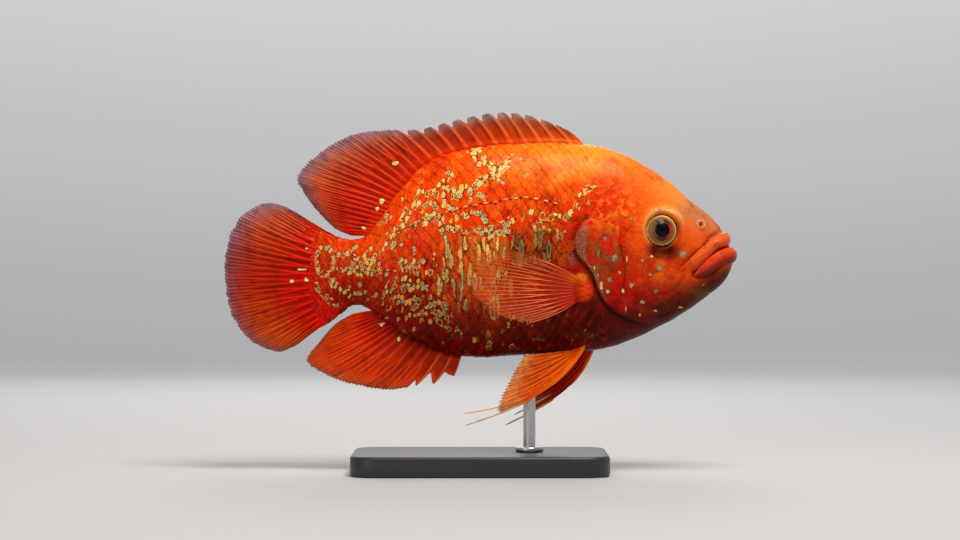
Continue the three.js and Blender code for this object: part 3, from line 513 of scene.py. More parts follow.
# Spots on the smooth skin of head and shoulder: place, half width, half height, and how green they are.
HEAD_SPOTS = [
    (97.6, 7.8, 2.0, 1.9, 1.0), (86.2, 1.0, 1.8, 1.6, 1.0), (81.6, -2.0, 1.3, 1.3, 0.6),
    (77.6, 5.0, 1.8, 1.3, 0.5), (64.2, 5.9, 1.9, 2.0, 1.0), (56.6, 8.0, 0.8, 2.9, 0.7),
    (66.8, -1.2, 1.0, 1.1, 0.3), (72.4, -6.9, 1.7, 2.3, 0.45), (68.4, -9.8, 0.9, 1.3, 0.1),
    (84.5, -10.2, 1.5, 1.3, 0.8), (70.2, 5.2, 0.5, 2.2, 0.1), (78.2, -15.4, 1.6, 0.9, 0.2),
    (69.9, -18.6, 0.5, 2.2, 0.2), (61.2, -10.2, 1.1, 1.2, 0.0), (58.0, -7.4, 0.9, 2.3, 0.0),
    (56.6, -1.8, 0.7, 1.8, 0.4), (76.8, -21.4, 0.5, 0.9, 0.2), (96.8, -18.0, 1.8, 0.8, 0.4),
    (110.4, -1.4, 1.6, 0.9, 1.0), (108.0, -7.0, 0.9, 0.7, 0.5), (84.4, -19.6, 1.4, 0.6, 0.3),
    (52.0, 32.2, 1.7, 1.9, 0.35), (72.4, 24.6, 1.6, 1.1, 0.6), (111.4, -11.4, 1.4, 0.8, 0.7),
    (62.0, -4.4, 1.8, 1.2, 0.9), (54.6, 40.2, 2.0, 0.8, 0.0), (51.2, 39.2, 1.1, 1.1, 0.0),
    (60.0, 14.8, 1.6, 1.0, 0.8), (82.2, 6.6, 1.2, 0.8, 0.1), (112.4, 17.6, 0.4, 0.3, 0.0),
    (54.8, 1.2, 0.5, 1.6, 0.1), (66.2, 17.4, 0.9, 0.8, 0.3),
]
CREAM = dye("F2D684")
PALE_GREEN = dye("94A47C")


def head_spot_amount(x, z):
    """Cream and green of the head's spots."""
    cream, green = np.zeros(x.shape), np.zeros(x.shape)
    for at_x, at_z, wide, high, greenish in HEAD_SPOTS:
        far = np.hypot((x - at_x) / wide, (z - at_z) / high)
        body = bell(far, 1.1)
        cream = np.maximum(cream, body * (1 - 0.75 * greenish))
        green = np.maximum(green, bell(far, 0.45 + 0.6 * greenish) * min(1, 1.6 * greenish))
    return cream, green


def crease_shade(x, z):
    """Painted shade, 0 to 1: dark lines in the folds of the head, in the gill slit behind the cover, round the
    eye and in the nostril.
    """
    gill, passed = cover_distance(x, z)
    ends = smooth_step(0, 0.08, passed) * (1 - smooth_step(0.86, 1, passed))
    gap_half = 0.45 + 0.5 * smooth_step(0.4, 0.6, passed)
    shade = np.maximum(0.97 * bell(gill + 0.1 + gap_half, gap_half), 0.5 * bell(gill + 1.2, 1.4)) * ends
    shade = np.maximum(shade, 0.4 * bell(gill - flap_width(z), 0.5) * hump(x, z, (51, 11), 7, 8))
    for line, width, depth in (
        (CHEEK_GROOVE, 0.5, 0.6), (JAW_FOLD, 0.9, 0.3), (CHIN_CREASE, 0.8, 0.55), (LIP_CREASE, 0.7, 0.75),
        (MOUTH_LINE, 1.4, 0.95), (SHOULDER_SLIT, 0.7, 0.8), (THROAT_FOLDS[0], 0.6, 0.3),
        (THROAT_FOLDS[1], 0.6, 0.3),
    ):
        shade = np.maximum(shade, depth * groove(line, x, z, width, 0.25))
    orbit = orbit_share(x - 0.4, z + 0.8)
    hind = smooth_step(-3, 5, x - ORBIT_CENTRE[0] - 0.6 * (z - ORBIT_CENTRE[1]))
    below = smooth_step(2, -6, z - ORBIT_CENTRE[1] + 0.3 * (x - ORBIT_CENTRE[0]))
    socket_shade = np.maximum(0.5 * hind * bell(orbit - 0.78, 0.12), 0.3 * below * bell(orbit - 0.85, 0.2))
    shade = np.maximum(shade, socket_shade)
    return np.maximum(shade, 0.9 * bell(np.hypot(x - NOSTRIL_CENTRE[0], z - NOSTRIL_CENTRE[1]), 0.85))


# The skin itself: one closed sleeve of soft hide from the nose to the tail fin's scaly root, shaped from a
# grid that is rolled round the fish and closed along its back. It stands in for all the solid flesh.
SKIN_RINGS = 340
SKIN_SIDES = 290
HEAD_START_X = 42
HEAD_FINENESS = 2.1
FINE_MIDDLES = (FINE_ROWS[1:, 0] + FINE_ROWS[:-1, 0]) / 2
FINE_STEPS = np.linalg.norm(np.diff(FINE_ROWS, axis=0), axis=1)
FINE_STEPS *= np.where(FINE_MIDDLES > HEAD_START_X, HEAD_FINENESS, 1.0)
TRAVEL = np.concatenate([[0], np.cumsum(FINE_STEPS)])

TABLE_X = np.linspace(-87, 90, 260)
TABLE_REACH = np.linspace(-110, 110, 441)
HALF_TURNS = np.linspace(0.0, math.pi, 361)
table_points = body_point(place_at(TABLE_X)[:, None], HALF_TURNS[None, :])
steps_round = np.linalg.norm(np.diff(table_points, axis=1), axis=2)
climb = np.concatenate([np.zeros((len(TABLE_X), 1)), np.cumsum(steps_round, axis=1)], axis=1)
MIDLINE_TURN = math.radians(84)
REACH_TABLE = climb - np.array([[np.interp(MIDLINE_TURN, HALF_TURNS, row)] for row in climb])
TURN_TABLE = np.stack([np.interp(TABLE_REACH, row, HALF_TURNS) for row in REACH_TABLE])


def read_table(table, sides, x, value):
    """A value of a table between its columns, which stand at TABLE_X, and its lines, which stand at sides."""
    column = np.clip((x - TABLE_X[0]) / (TABLE_X[1] - TABLE_X[0]), 0, len(TABLE_X) - 1.001)
    line = np.clip((value - sides[0]) / (sides[1] - sides[0]), 0, len(sides) - 1.001)
    i, j = column.astype(int), line.astype(int)
    a, b = column - i, line - j
    low = table[i, j] * (1 - b) + table[i, j + 1] * b
    high = table[i + 1, j] * (1 - b) + table[i + 1, j + 1] * b
    return low * (1 - a) + high * a


def turn_at(x, reach):
    """The turn round the body at x, a given distance below the mid line, measured over the skin."""
    return read_table(TURN_TABLE, TABLE_REACH, x, reach)


FLECK_X = np.linspace(-95, 130, 451)


def fleck_size(x):
    """How large the flecks are: smaller towards the tail."""
    return np.interp(x, [-60, -24, -4], [0.78, 0.88, 1.0])


FLECK_TRAVEL = np.cumsum(0.5 / fleck_size(FLECK_X))
LEFT_PATTERN_SHIFT = 300


def flank_marks(x, z, turn):
    """What the fleck pattern needs at points of the skin: the amounts there, and the place on the flank."""
    strewn, green, bright, tall = fleck_amount(x, z)
    reach = read_table(REACH_TABLE, HALF_TURNS, x, math.pi - np.abs(turn - math.pi))
    along = np.interp(x, FLECK_X, FLECK_TRAVEL) + np.where(turn < math.pi, LEFT_PATTERN_SHIFT, 0)
    return np.stack([strewn, green, bright], axis=1), np.stack([along, reach / fleck_size(x), tall], axis=1)


skin, skin_u, skin_v = add_grid("skin", SKIN_RINGS, SKIN_SIDES)
skin_place = np.interp(skin_u * TRAVEL[-1], TRAVEL, FINE_PLACES)
skin_turn = skin_v * 2 * math.pi
skin_shape = skin_point(skin_place, skin_turn)
for end in (0, 1):
    ring = np.isclose(skin_u, end)
    skin_shape[ring] = skin_shape[ring].mean(axis=0)
shape_piece(skin, skin_shape)
plain_shape = body_point(skin_place, skin_turn)
skin_x, skin_z = plain_shape[:, 0], plain_shape[:, 2]


def on_skin(centre, reach_x, reach_z):
    """A round soft hump at the skin's vertices."""
    return hump(skin_x, skin_z, centre, reach_x, reach_z)


skin_paint = paint(skin_x, skin_z)
gill_far, gill_passed = cover_distance(skin_x, skin_z)
from_flap = gill_far - flap_width(skin_z)
flap = smooth_step(0.5, -0.3, from_flap) * smooth_step(0.25, 0.5, on_skin((50, 12), 8, 8.5))
fin_root = on_skin(FIN_ROOT_CENTRE, 5, 6)
stripe_turn = np.arctan2(skin_z - FIN_ROOT_CENTRE[1], skin_x - 58) * 24
stripes = np.clip(1.8 * fin_root - 0.3, 0, 1) * (0.5 + 0.5 * np.sin(stripe_turn)) ** 2
orbit = orbit_share(skin_x, skin_z)
from_orbit_x, from_orbit_z = skin_x - ORBIT_CENTRE[0], skin_z - ORBIT_CENTRE[1]
brow = smooth_step(-4, 5, from_orbit_z - 0.5 * from_orbit_x)
lid_highlight = bell(orbit - 0.94, 0.045) * smooth_step(-1, 6, from_orbit_z - 0.9 * from_orbit_x)
nostril = np.hypot(skin_x - NOSTRIL_CENTRE[0], skin_z - NOSTRIL_CENTRE[1])
# Paint round the fin's root, the eye and the nostril. Above the eye, the orbit's raised rim, the inside of the
# socket and a thin line on the lid are lightened as painted highlight and painted light. Below the eye the
# skin is darkened as painted shade of the orbit.
for code, amount in (
    ("6A0402", 0.85 * smooth_step(0.12, 0.35, fin_root)), ("FF4E0E", smooth_step(0.25, 0.75, fin_root)),
    ("8A0A02", 0.85 * stripes), ("F8A648", 0.85 * brow * bell(orbit - 1.04, 0.11)),
    ("F0A878", 0.5 * bell(nostril - 1.6, 0.5)),
    ("FF9A24", 0.85 * smooth_step(0.1, 0.95, on_skin((48.8, -3.6), 2.6, 2.4))),
    ("8C1403", 0.7 * on_skin((89, 7), 10, 5)),
    ("460201", 0.96 * smooth_step(0.1, 0.8, on_skin((87.4, 10), 8.0, 4.6))),
    ("FF8206", 0.95 * brow * bell(orbit - 0.76, 0.15)), ("FFD890", 0.9 * lid_highlight),
):
    skin_paint += (dye(code) - skin_paint) * amount[:, None]
skin_bands, skin_flank = flank_marks(skin_x, skin_z, skin_turn)
skin_bands[:, 0] *= smooth_step(58, 52, skin_x)
olive_bloom = np.maximum.reduce([
    on_skin((61, 9), 7, 12), 0.4 * on_skin((83, -12), 14, 6), 0.5 * on_skin((104, -12), 12, 5),
])
amber_bloom = np.maximum.reduce([
    on_skin((64, 29), 13, 10), 0.55 * on_skin((85, 0), 8, 6), 0.5 * on_skin((68, 50), 20, 12),
])
blood_bloom = np.maximum(on_skin((61, 17), 16, 24), 0.9 * on_skin((72, -8), 16, 12))
margin_strip = bell(gill_far - 0.8, 0.7) * smooth_step(0.3, 0.4, gill_passed)
margin_strip *= smooth_step(0.72, 0.6, gill_passed)
behind_cover = smooth_step(0.3, 0.7, on_skin((44.6, 6.6), 3.2, 4.6)) * smooth_step(-0.9, -1.6, gill_far)
speckle = np.maximum.reduce([
    0.85 * flap * smooth_step(-0.2, 0.4, gill_far), 0.8 * margin_strip, 0.7 * behind_cover,
]) * smooth_step(20.6, 18.4, skin_z)
speckle = np.maximum(speckle, 0.8 * on_skin((50.2, 19.8), 1.6, 2.2) * smooth_step(0, 0.5, gill_far))
pale = np.maximum.reduce([
    np.clip(0.5 * (bell(from_flap + 0.3, 0.5) + bell(gill_far - 0.3, 0.4)), 0, 1),
    on_skin((50.2, 19.6), 1.8, 2.2), 0.7 * margin_strip * smooth_step(9, 3, skin_z),
])
colour_points(
    skin, Paint=skin_paint, Marks=(*head_spot_amount(skin_x, skin_z), crease_shade(skin_x, skin_z)),
    Bands=skin_bands, Flank=skin_flank, Blooms=(olive_bloom, amber_bloom, blood_bloom),
    Speckle=(speckle, pale),
)
close_piece(skin)


class Wire:
    """What runs from one node to the next. Wires are added, subtracted and multiplied as numbers are."""

    def __init__(self, tree, source, outlet=0):
        self.tree, self.source, self.socket = tree, source, source.outputs[outlet]

    def __getitem__(self, outlet):
        return Wire(self.tree, self.source, outlet)

    def __add__(self, other):
        return self.maths("ADD", other)

    def __sub__(self, other):
        return self.maths("SUBTRACT", other)

    def __rsub__(self, other):
        return add_node(self.tree, "ShaderNodeMath", {0: other, 1: self}, operation="SUBTRACT")

    def __mul__(self, other):
        return self.maths("MULTIPLY", other)

    def maths(self, operation, *others):
        """One sum or comparison."""
        return add_node(self.tree, "ShaderNodeMath", enumerate((self, *others)), operation=operation)

    def step(self, low, high):
        """A soft step, 0 below one value and 1 above another."""
        ends = {0: self, 1: low, 2: high}
        return add_node(self.tree, "ShaderNodeMapRange", ends, interpolation_type="SMOOTHSTEP")

    def noise(self, scale, detail=2.0, roughness=0.5):
        """A soft random pattern of a given fineness, where the wire carries a place."""
        inputs = {"Vector": self, "Scale": scale, "Detail": detail, "Roughness": roughness}
        return add_node(self.tree, "ShaderNodeTexNoise", inputs)

    def parts(self):
        """The three channels of a colour."""
        split = add_node(self.tree, "ShaderNodeSeparateColor", {0: self})
        return split[0], split[1], split[2]


def feed(socket, value):
    """Leads a wire into a socket, or sets the socket's own number or colour."""
    if isinstance(value, Wire):
        value.tree.links.new(value.socket, socket)
    elif socket.type == "RGBA":
        socket.default_value = (*(dye(value) if isinstance(value, str) else value), 1)
    else:
        socket.default_value = value


def add_node(tree, kind, inputs=(), outlet=0, **settings):
    """Adds a node, sets it, feeds its inputs and gives the wire from one of its outputs."""
    made = tree.nodes.new(kind)
    for name, value in settings.items():
        setattr(made, name, value)
    for key, value in dict(inputs).items():
        feed(made.inputs[key], value)
    return Wire(tree, made, outlet)


def blend(amount, first, second, way="MIX"):
    """Two colours blended by an amount."""
    tree = next(value.tree for value in (amount, first, second) if isinstance(value, Wire))
    colours = {0: amount, 6: first, 7: second}
    return add_node(tree, "ShaderNodeMix", colours, 2, data_type="RGBA", blend_type=way)


def kept(tree, name):
    """The colours or masks that a piece keeps under a name."""
    return add_node(tree, "ShaderNodeAttribute", attribute_name=name)


def object_place(tree):
    """The place on the piece, in metres."""
    return add_node(tree, "ShaderNodeTexCoord", outlet="Object")


def bump(height, distance):
    """Fine height turned into a bent normal."""
    return add_node(height.tree, "ShaderNodeBump", {"Height": height, "Distance": distance})


def new_pattern(name, inputs, outputs):
    """A group of nodes for a pattern that several finishes share: its tree, its inputs and its way out."""
    tree = bpy.data.node_groups.new(name, "ShaderNodeTree")
    for in_out, sockets in (("INPUT", inputs), ("OUTPUT", outputs)):
        for label, kind in sockets.items():
            tree.interface.new_socket(label, in_out=in_out, socket_type="NodeSocket" + kind)
    return tree, Wire(tree, tree.nodes.new("NodeGroupInput")), tree.nodes.new("NodeGroupOutput").inputs


def new_finish(name):
    """A new material, its tree and its shader."""
    material = bpy.data.materials.new(name)
    material.use_nodes = True
    return material, material.node_tree, material.node_tree.nodes["Principled BSDF"]


def dress(shader, **sockets):
    """Feeds the shader's sockets."""
    for name, value in sockets.items():
        feed(shader.inputs[name.replace("_", " ")], value)


# Living hide: a colour broken up by soft blotches and fine specks, and the height of its grain.
MOTTLE, entry, leave = new_pattern(
    "hide_mottle", {"Colour": "Color", "Blotch size": "Float", "Strength": "Float"},
    {"Colour": "Color", "Grain": "Float"},
)
place = object_place(MOTTLE)
blotch, speck = place.noise(entry["Blotch size"], 4), place.noise(900, 3)
lightened_blotches = blend(blotch.step(0.5, 0.72) * entry["Strength"], entry["Colour"], (1.0, 0.42, 0.1), "SOFT_LIGHT")
deep = blend(blotch.step(0.5, 0.3) * entry["Strength"], lightened_blotches, (0.5, 0.06, 0.02), "MULTIPLY")
feed(leave["Colour"], blend(speck.step(0.55, 0.75) * 0.3, deep, (1.0, 0.6, 0.3), "SOFT_LIGHT"))
feed(leave["Grain"], speck + blotch * 0.6)


def mottled(colour, size, strength):
    """Places the hide pattern in a finish: the broken colour and the grain's height."""
    inputs = {"Colour": colour, "Blotch size": size, "Strength": strength}
    made = add_node(colour.tree, "ShaderNodeGroup", inputs, node_tree=MOTTLE)
    return made, made[1]


# The fleck pattern: small cells, some of them cream, some with a green core in a cream rim and some only a
# cream net, each with broken dark outlines. Tall cells take over where the bars are.
FLECKS, entry, leave = new_pattern(
    "flecks", {"Ground": "Color", "Bands": "Color", "Flank": "Color"}, {"Colour": "Color", "Raised": "Float"},
)
CELL_FINENESS = (0.44, 0.31, 0)
TALL_CELL_FINENESS = (0.45, 0.115, 0)
OUTLINE_DARK = (0.03, 0.006, 0.004)
CORE_DARK = (0.02, 0.035, 0.015)


def vector_sum(operation, *values):
    """One sum of places."""
    return add_node(FLECKS, "ShaderNodeVectorMath", enumerate(values), operation=operation)


strewn, greenish, bright = entry["Bands"].parts()
along, across, tall = entry["Flank"].parts()
place = add_node(FLECKS, "ShaderNodeCombineXYZ", {0: along, 1: across})
drifted = place
for scale, reach in ((0.5, 0.95), (1.5, 0.55)):
    stray = place.noise(scale)[1]
    stray = vector_sum("MULTIPLY_ADD", stray, (2 * reach, 2 * reach, 0), (-reach, -reach, 0))
    drifted = vector_sum("ADD", drifted, stray)
is_tall = tall.step(0.95, 1.05)
fars, edges, throws = [], [], []
for fineness in (CELL_FINENESS, TALL_CELL_FINENESS):
    inputs = {"Vector": vector_sum("MULTIPLY", drifted, fineness), "Scale": 1.0}
    cells = add_node(FLECKS, "ShaderNodeTexVoronoi", inputs, voronoi_dimensions="2D")
    fars.append(cells)
    throws.append(cells[1])
    edges.append(add_node(
        FLECKS, "ShaderNodeTexVoronoi", inputs, voronoi_dimensions="2D", feature="DISTANCE_TO_EDGE",
    ))
chance_a, chance_b, chance_c = blend(is_tall, *throws).parts()
far, edge = ((pair[1] - pair[0]) * is_tall + pair[0] for pair in (fars, edges))
ragged = place.noise(1.9, 4, 0.7) * 0.6 - 0.3
edge = edge + ragged * 0.7
into = chance_b * 0.2 + 0.42 - far + ragged * 0.8
has = (strewn - chance_a).step(0.0, 0.05)
net = (is_tall * -0.1 + chance_c).step(0.78, 0.8)
solid = 1.0 - net
other = (chance_b * 7.3).maths("FRACT")
core = into.step(0.17, 0.28) * ((greenish - other).step(0.0, 0.04) * has)
cream = (into.step(0.0, 0.1) * solid + edge.step(0.2, 0.1) * net) * has
one_sided = place.noise(0.9).step(0.36, 0.52) * 0.6 + 0.4
line = (into.step(-0.26, -0.04) * solid + edge.step(0.4, 0.2) * net) * one_sided * has
upright = vector_sum("MULTIPLY", drifted, (0.55, 0.1, 0))
orange_bars = upright.noise(1.0, 3, 0.6).step(0.4, 0.56) * (is_tall * strewn) * (bright * 0.9 + 0.1)
colour = blend(orange_bars, entry["Ground"], blend(greenish, "EC9434", "6A3A12"))
tint = blend(bright, blend(other, "C4AC6A", "D08A34"), blend(other, "FFE894", "FFC456"))
tint = blend((1.0 - bright) * (greenish * is_tall) * 0.9, tint, "5A3E20")
# Random patches that dull the flecks' tint and green, the flecks' own colour.
dull_patches = place.noise(1.4, 4, 0.65).step(0.44, 0.6)
tint = blend(dull_patches * 0.65, tint, "C06C20")
green = blend(bright, "6A5632", blend(chance_c * chance_c, "B4BA8A", "7CAE9C"))
green = blend(dull_patches * 0.75, green, "5E5A30")
green = blend(into.step(0.3, 0.46) * other.step(0.35, 0.5) * 0.85, green, CORE_DARK)
colour = blend(cream, blend(line * 0.95, colour, OUTLINE_DARK), tint)
feed(leave["Colour"], blend(core, colour, green))
feed(leave["Raised"], cream)


def flecked(ground):
    """Places the fleck pattern in a finish: the flecked colour and what stands up."""
    inputs = {"Ground": ground, "Bands": kept(ground.tree, "Bands"), "Flank": kept(ground.tree, "Flank")}
    made = add_node(ground.tree, "ShaderNodeGroup", inputs, node_tree=FLECKS)
    return made, made[1]


hide, tree, shader = new_finish("wet_hide")
place = object_place(tree)
# The third mark is the painted shade of the head's folds.
cream, green, crease = kept(tree, "Marks").parts()
olive_part, amber_part, blood_part = kept(tree, "Blooms").parts()
speckle_part, pale_part, _ = kept(tree, "Speckle").parts()
large, patch = place.noise(95, 4, 0.62), place.noise(330, 4, 0.65)
other, third = (
    add_node(tree, "ShaderNodeMapping", {"Vector": place, "Location": shift}).noise(scale, 4, roughness)
    for shift, scale, roughness in (((0.31, 0.17, 0.05), 130, 0.6), ((0.11, 0.4, 0.2), 170, 0.65))
)
living = olive_part.maths("MAXIMUM", amber_part).maths("MAXIMUM", blood_part)
vein = (other - 0.48).maths("ABSOLUTE").step(0.02, 0.005)
colour, grain = mottled(kept(tree, "Paint"), 130, 0.5)
for amount, code, way in (
    (large.step(0.42, 0.52) * blood_part * 0.8, "D41404", "MIX"),
    (other.step(0.5, 0.58) * amber_part * 0.7, "FF8C1C", "MIX"),
    (third.step(0.48, 0.56) * olive_part * 0.75, "7C5620", "MIX"),
    (patch.step(0.5, 0.58) * living * 0.4, (0.74, 0.16, 0.06), "MULTIPLY"),
    (patch.step(0.46, 0.38) * amber_part * 0.5, "FF8A26", "MIX"),
    (vein * living * 0.45, (0.4, 0.04, 0.02), "MULTIPLY"),
):
    colour = blend(amount, colour, code, way)
cells = add_node(tree, "ShaderNodeTexVoronoi", {"Vector": place, "Scale": 1500})
pale_net = blend(pale_part, blend(large.step(0.42, 0.58), "74684A", "946050"), "D0A080")
colour = blend(speckle_part * 0.78, colour, blend(cells.step(0.3, 0.55), "3A140C", pale_net))
ragged = place.noise(1000, 4, 0.8) * 1.8 - 0.9
cream, green = cream + ragged, green + ragged
outline = cream.step(0.32, 0.48).maths("MAXIMUM", green.step(0.3, 0.5))
colour = blend(outline * 0.5, colour, (0.09, 0.025, 0.008))
colour = blend(cream.step(0.45, 0.8) * 0.9, colour, CREAM)
colour = blend(green.step(0.35, 0.95) * (cells.step(0.3, 0.6) * 0.5 + 0.4), colour, PALE_GREEN)
# The folds, the gill slit, the eye socket and the nostril are darkened here as painted shade.
colour = blend(crease, flecked(colour)[0], (0.12, 0.015, 0.008), "MULTIPLY")
lumps = place.noise(420, 3, 0.6) * 1.6 + large * 1.2 + grain + other * living * 4.5
dress(
    shader, Base_Color=colour, Roughness=place.noise(260) * 0.3 + 0.28, Normal=bump(lumps, 0.00035),
    Specular_IOR_Level=0.1, Specular_Tint=(1, 0.5, 0.25), Coat_Weight=0.08, Coat_Roughness=0.14, Coat_IOR=1.4,
)
skin.data.materials.append(hide)
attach(skin, "root")
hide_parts("head", "trunk", "tail_stalk", "gill_cover_right", "gill_cover_left")

# The scales. Thin overlapping plates sit in rows along each flank, every other row half a scale farther
# back, and they grow smaller towards the tail, the breast and the nape. One plate is modelled and copied
# over the skin, each copy bent to it, with its root under the plates in front of it.
SCALE_PITCH = 4.9
ROW_SPACING = 3.6
SCALE_CELLS = 8
SCALE_OVERLAP = (1.12, 1.13)
PLATE_THICKNESS = 0.16
SCALE_BAKE_REACH = 0.0015
SIZE_X = [-86, -68, -52, -36, -15, 30, 50, 64]
SIZES = [0.42, 0.5, 0.6, 0.8, 1.0, 1.0, 0.86, 0.62]
COAT_FRONT = smooth_line([
    (63, 66), (61, 56), (56.5, 44), (52.0, 36), (44.0, 27.0), (41.6, 18.0), (42.2, 8.0), (42.8, 0.0),
    (43.5, -8.0), (47.0, -15.6), (55.0, -21.4), (64.0, -26.6), (74.0, -33), (80, -37),
])


def size_at(x):
    """How large the scales are, compared with those of the mid flank."""
    return np.interp(x, SIZE_X, SIZES)


column_x = [64.0]
while column_x[-1] > -85:
    column_x.append(column_x[-1] - SCALE_PITCH * float(size_at(column_x[-1])))
column_x = np.array(column_x)


def coat_sites():
    """Middle of each scale: x, row and size, for one flank."""
    rows = np.arange(-24, 26)
    columns = np.arange(len(column_x) - 1)
    row, column = (grid.ravel() for grid in np.meshgrid(rows, columns))
    x = np.interp(column + 0.5 * (row % 2), np.arange(len(column_x)), column_x)
    size = size_at(x)
    reach = row * ROW_SPACING * size
    turn = turn_at(x, reach)
    at = body_point(place_at(x), turn)
    z = at[:, 2]
    grows = (turn > 0.03) & (turn < math.pi - 0.03)
    edge, _ = line_distance(COAT_FRONT, x, z)
    grows &= edge > 0
    grows &= hump(x, z, FIN_ROOT_CENTRE, 5.5, 6.5) < 0.5
    fringe = np.random.default_rng(3).random(x.shape)
    grows &= x > -76 - 6 * fringe
    order = np.argsort(x[grows])
    return x[grows][order], row[grows][order], size[grows][order]


plate, plate_u, plate_v = add_grid("plate", SCALE_CELLS, SCALE_CELLS)
flat_faces = np.array([list(face.vertices) for face in plate.data.polygons])
bpy.data.objects.remove(plate, do_unlink=True)
square_a, square_b = plate_u * 2 - 1, plate_v * 2 - 1
PLATE_A = square_a * np.sqrt(1 - square_b**2 / 2)
PLATE_B = square_b * np.sqrt(1 - square_a**2 / 2)
PLATE_RADIUS = np.hypot(PLATE_A, PLATE_B)
PLATE_RIM = np.argsort(np.arctan2(PLATE_B, PLATE_A) + 1e3 * (PLATE_RADIUS < 0.999))[: 4 * SCALE_CELLS]


def coat_piece(name, side, low_x, high_x, seed):
    """The scales of one flank between two places along it, as one closed, joined piece."""
    chance = np.random.default_rng(seed)
    x, row, size = coat_sites()
    here = (x >= low_x) & (x < high_x)
    x, row, size = x[here], row[here], size[here]
    count, points = len(x), len(PLATE_A)
    wobble = chance.normal(0, 1, (count, 4))
    long_half = SCALE_OVERLAP[0] * SCALE_PITCH * size * (1 + 0.05 * wobble[:, 0])
    wide_half = SCALE_OVERLAP[1] * ROW_SPACING * size * (1 + 0.04 * wobble[:, 1])
    skew = 0.08 * wobble[:, 2]
    back = PLATE_A[None, :] * long_half[:, None]
    across = PLATE_B[None, :] * wide_half[:, None] + back * skew[:, None]
    at_x = x[:, None] - back
    sizes = size_at(at_x)
    reach = row[:, None] * ROW_SPACING * sizes + across
    turn = turn_at(at_x, reach)
    lift = np.interp(PLATE_A, [-1, -0.4, 0.4, 1], [-0.5, -0.18, 0.22, 0.42])
    crown = 0.16 * (1 - PLATE_B**2) * smooth_step(-0.3, 0.6, PLATE_A)
    fray = 0.05 * np.sin(9 * PLATE_B) * smooth_step(0.5, 1, PLATE_A) * wobble[:, 3:4]
    height = (lift + crown) * size[:, None] ** 0.7 + fray + 0.05 * wobble[:, 0:1]
    turn = np.clip(turn, 0.004, math.pi - 0.004)
    signed_turn = turn if side > 0 else 2 * math.pi - turn
    at_place = place_at(at_x)
    top = skin_point(at_place, signed_turn, height)
    under = skin_point(at_place, signed_turn, height - PLATE_THICKNESS * size[:, None] - 0.06)
    vertices = np.concatenate([top, under[:, PLATE_RIM]], axis=1)
    per = points + len(PLATE_RIM)
    rim = np.arange(len(PLATE_RIM))
    following = (rim + 1) % len(PLATE_RIM)
    walls = np.stack([PLATE_RIM[rim], points + rim, points + following, PLATE_RIM[following]], axis=1)
    quads = np.concatenate([flat_faces, walls])
    if side < 0:
        quads = quads[:, ::-1]
    offsets = np.arange(count)[:, None, None] * per
    corners = (quads[None] + offsets).reshape(-1, 4)
    bases = (points + rim)[None, :] + np.arange(count)[:, None] * per
    if side > 0:
        bases = bases[:, ::-1]
    world = ((vertices.reshape(-1, 3) + np.array([0, 0, AXIS_HEIGHT])) * MM).astype(np.float32)
    mesh = bpy.data.meshes.new(name)
    mesh.from_pydata(world, [], corners.tolist() + bases.tolist())
    coat = bpy.data.objects.new(name, mesh)
    bpy.context.collection.objects.link(coat)

    root_turn = turn_at(x, row * ROW_SPACING * size)
    visible_x = x - 0.45 * long_half
    visible = body_point(place_at(visible_x), turn_at(visible_x, row * ROW_SPACING * size))
    vis_x, vis_z = visible[:, 0], visible[:, 2]
    # How strongly each scale carries the painted shade along its rim and its dark streaks.
    lines = 0.5 + 0.45 * hump(vis_x, vis_z, (28, 12), 18, 16) + 0.45 * hump(vis_x, vis_z, (-16, -10), 40, 18)
    lines *= 1 - 0.6 * hump(vis_x, vis_z, (44, 50), 26, 14)
    lines = (lines + 0.3 * (chance.random(count) - 0.5)) * smooth_step(55, 42, vis_x)
    whole = np.concatenate([np.arange(points), PLATE_RIM])
    point_x, point_z = vertices[:, :, 0].ravel(), vertices[:, :, 2].ravel()
    shades = paint(point_x, point_z).reshape(count, per, 3)
    shades *= 1 + 0.1 * chance.normal(0, 1, (count, 1, 1))
    ember_zone = smooth_step(45, 10, vis_z) * smooth_step(-24, -8, vis_z)
    ember_zone *= smooth_step(-56, -40, vis_x) * smooth_step(42, 26, vis_x)
    # Scales differ at random in tone: some on the upper flank are turned gold as painted glints, some low down
    # are darkened with the belly's painted shade, and some on the middle flank are turned orange red.
    for code, power, share, zone in (
        ("FF9420", 3, 0.3, smooth_step(-30, 45, vis_z)), ("780402", 4, 0.55, smooth_step(40, 0, vis_z)),
        ("F4500C", 3, 0.4, ember_zone),
    ):
        shades += (dye(code) - shades) * share * chance.random((count, 1, 1)) ** power * zone[:, None, None]
    # Scales at the coat's front border carry no painted shade at their roots, as no scale lies in front of
    # them.
    root_z = body_point(place_at(x), root_turn)[:, 2]
    covered = smooth_step(1.5, 6.5, line_distance(COAT_FRONT, x, root_z)[0])
    line_masks = np.stack([np.clip(lines, 0, 1), covered], axis=1)
    plate_turn = np.concatenate([signed_turn, signed_turn[:, PLATE_RIM]], axis=1).ravel()
    bands, flank = flank_marks(point_x, point_z, plate_turn)
    colour_points(
        coat, Paint=np.clip(shades.reshape(-1, 3), 0, 1), Lines=np.repeat(line_masks, per, axis=0),
        Bands=bands, Flank=flank,
    )
    local = np.stack([np.tile(PLATE_A[whole], count), np.tile(PLATE_B[whole], count)], axis=1)
    root_u = np.interp(place_at(x), FINE_PLACES, TRAVEL) / TRAVEL[-1]
    root_v = (root_turn if side > 0 else 2 * math.pi - root_turn) / (2 * math.pi)
    bake = np.repeat(np.stack([root_u, root_v], axis=1), per, axis=0) + SCALE_BAKE_REACH * local
    loop_vertices = np.empty(len(mesh.loops), int)
    mesh.loops.foreach_get("vertex_index", loop_vertices)
    for map_name, values in (("OFBake", bake), ("Scale", local)):
        layer = mesh.uv_layers.new(name=map_name)
        layer.data.foreach_set("uv", values[loop_vertices].astype(np.float32).ravel())
    pick(coat)
    bpy.ops.object.shade_smooth_by_angle(angle=math.radians(40))
    return coat


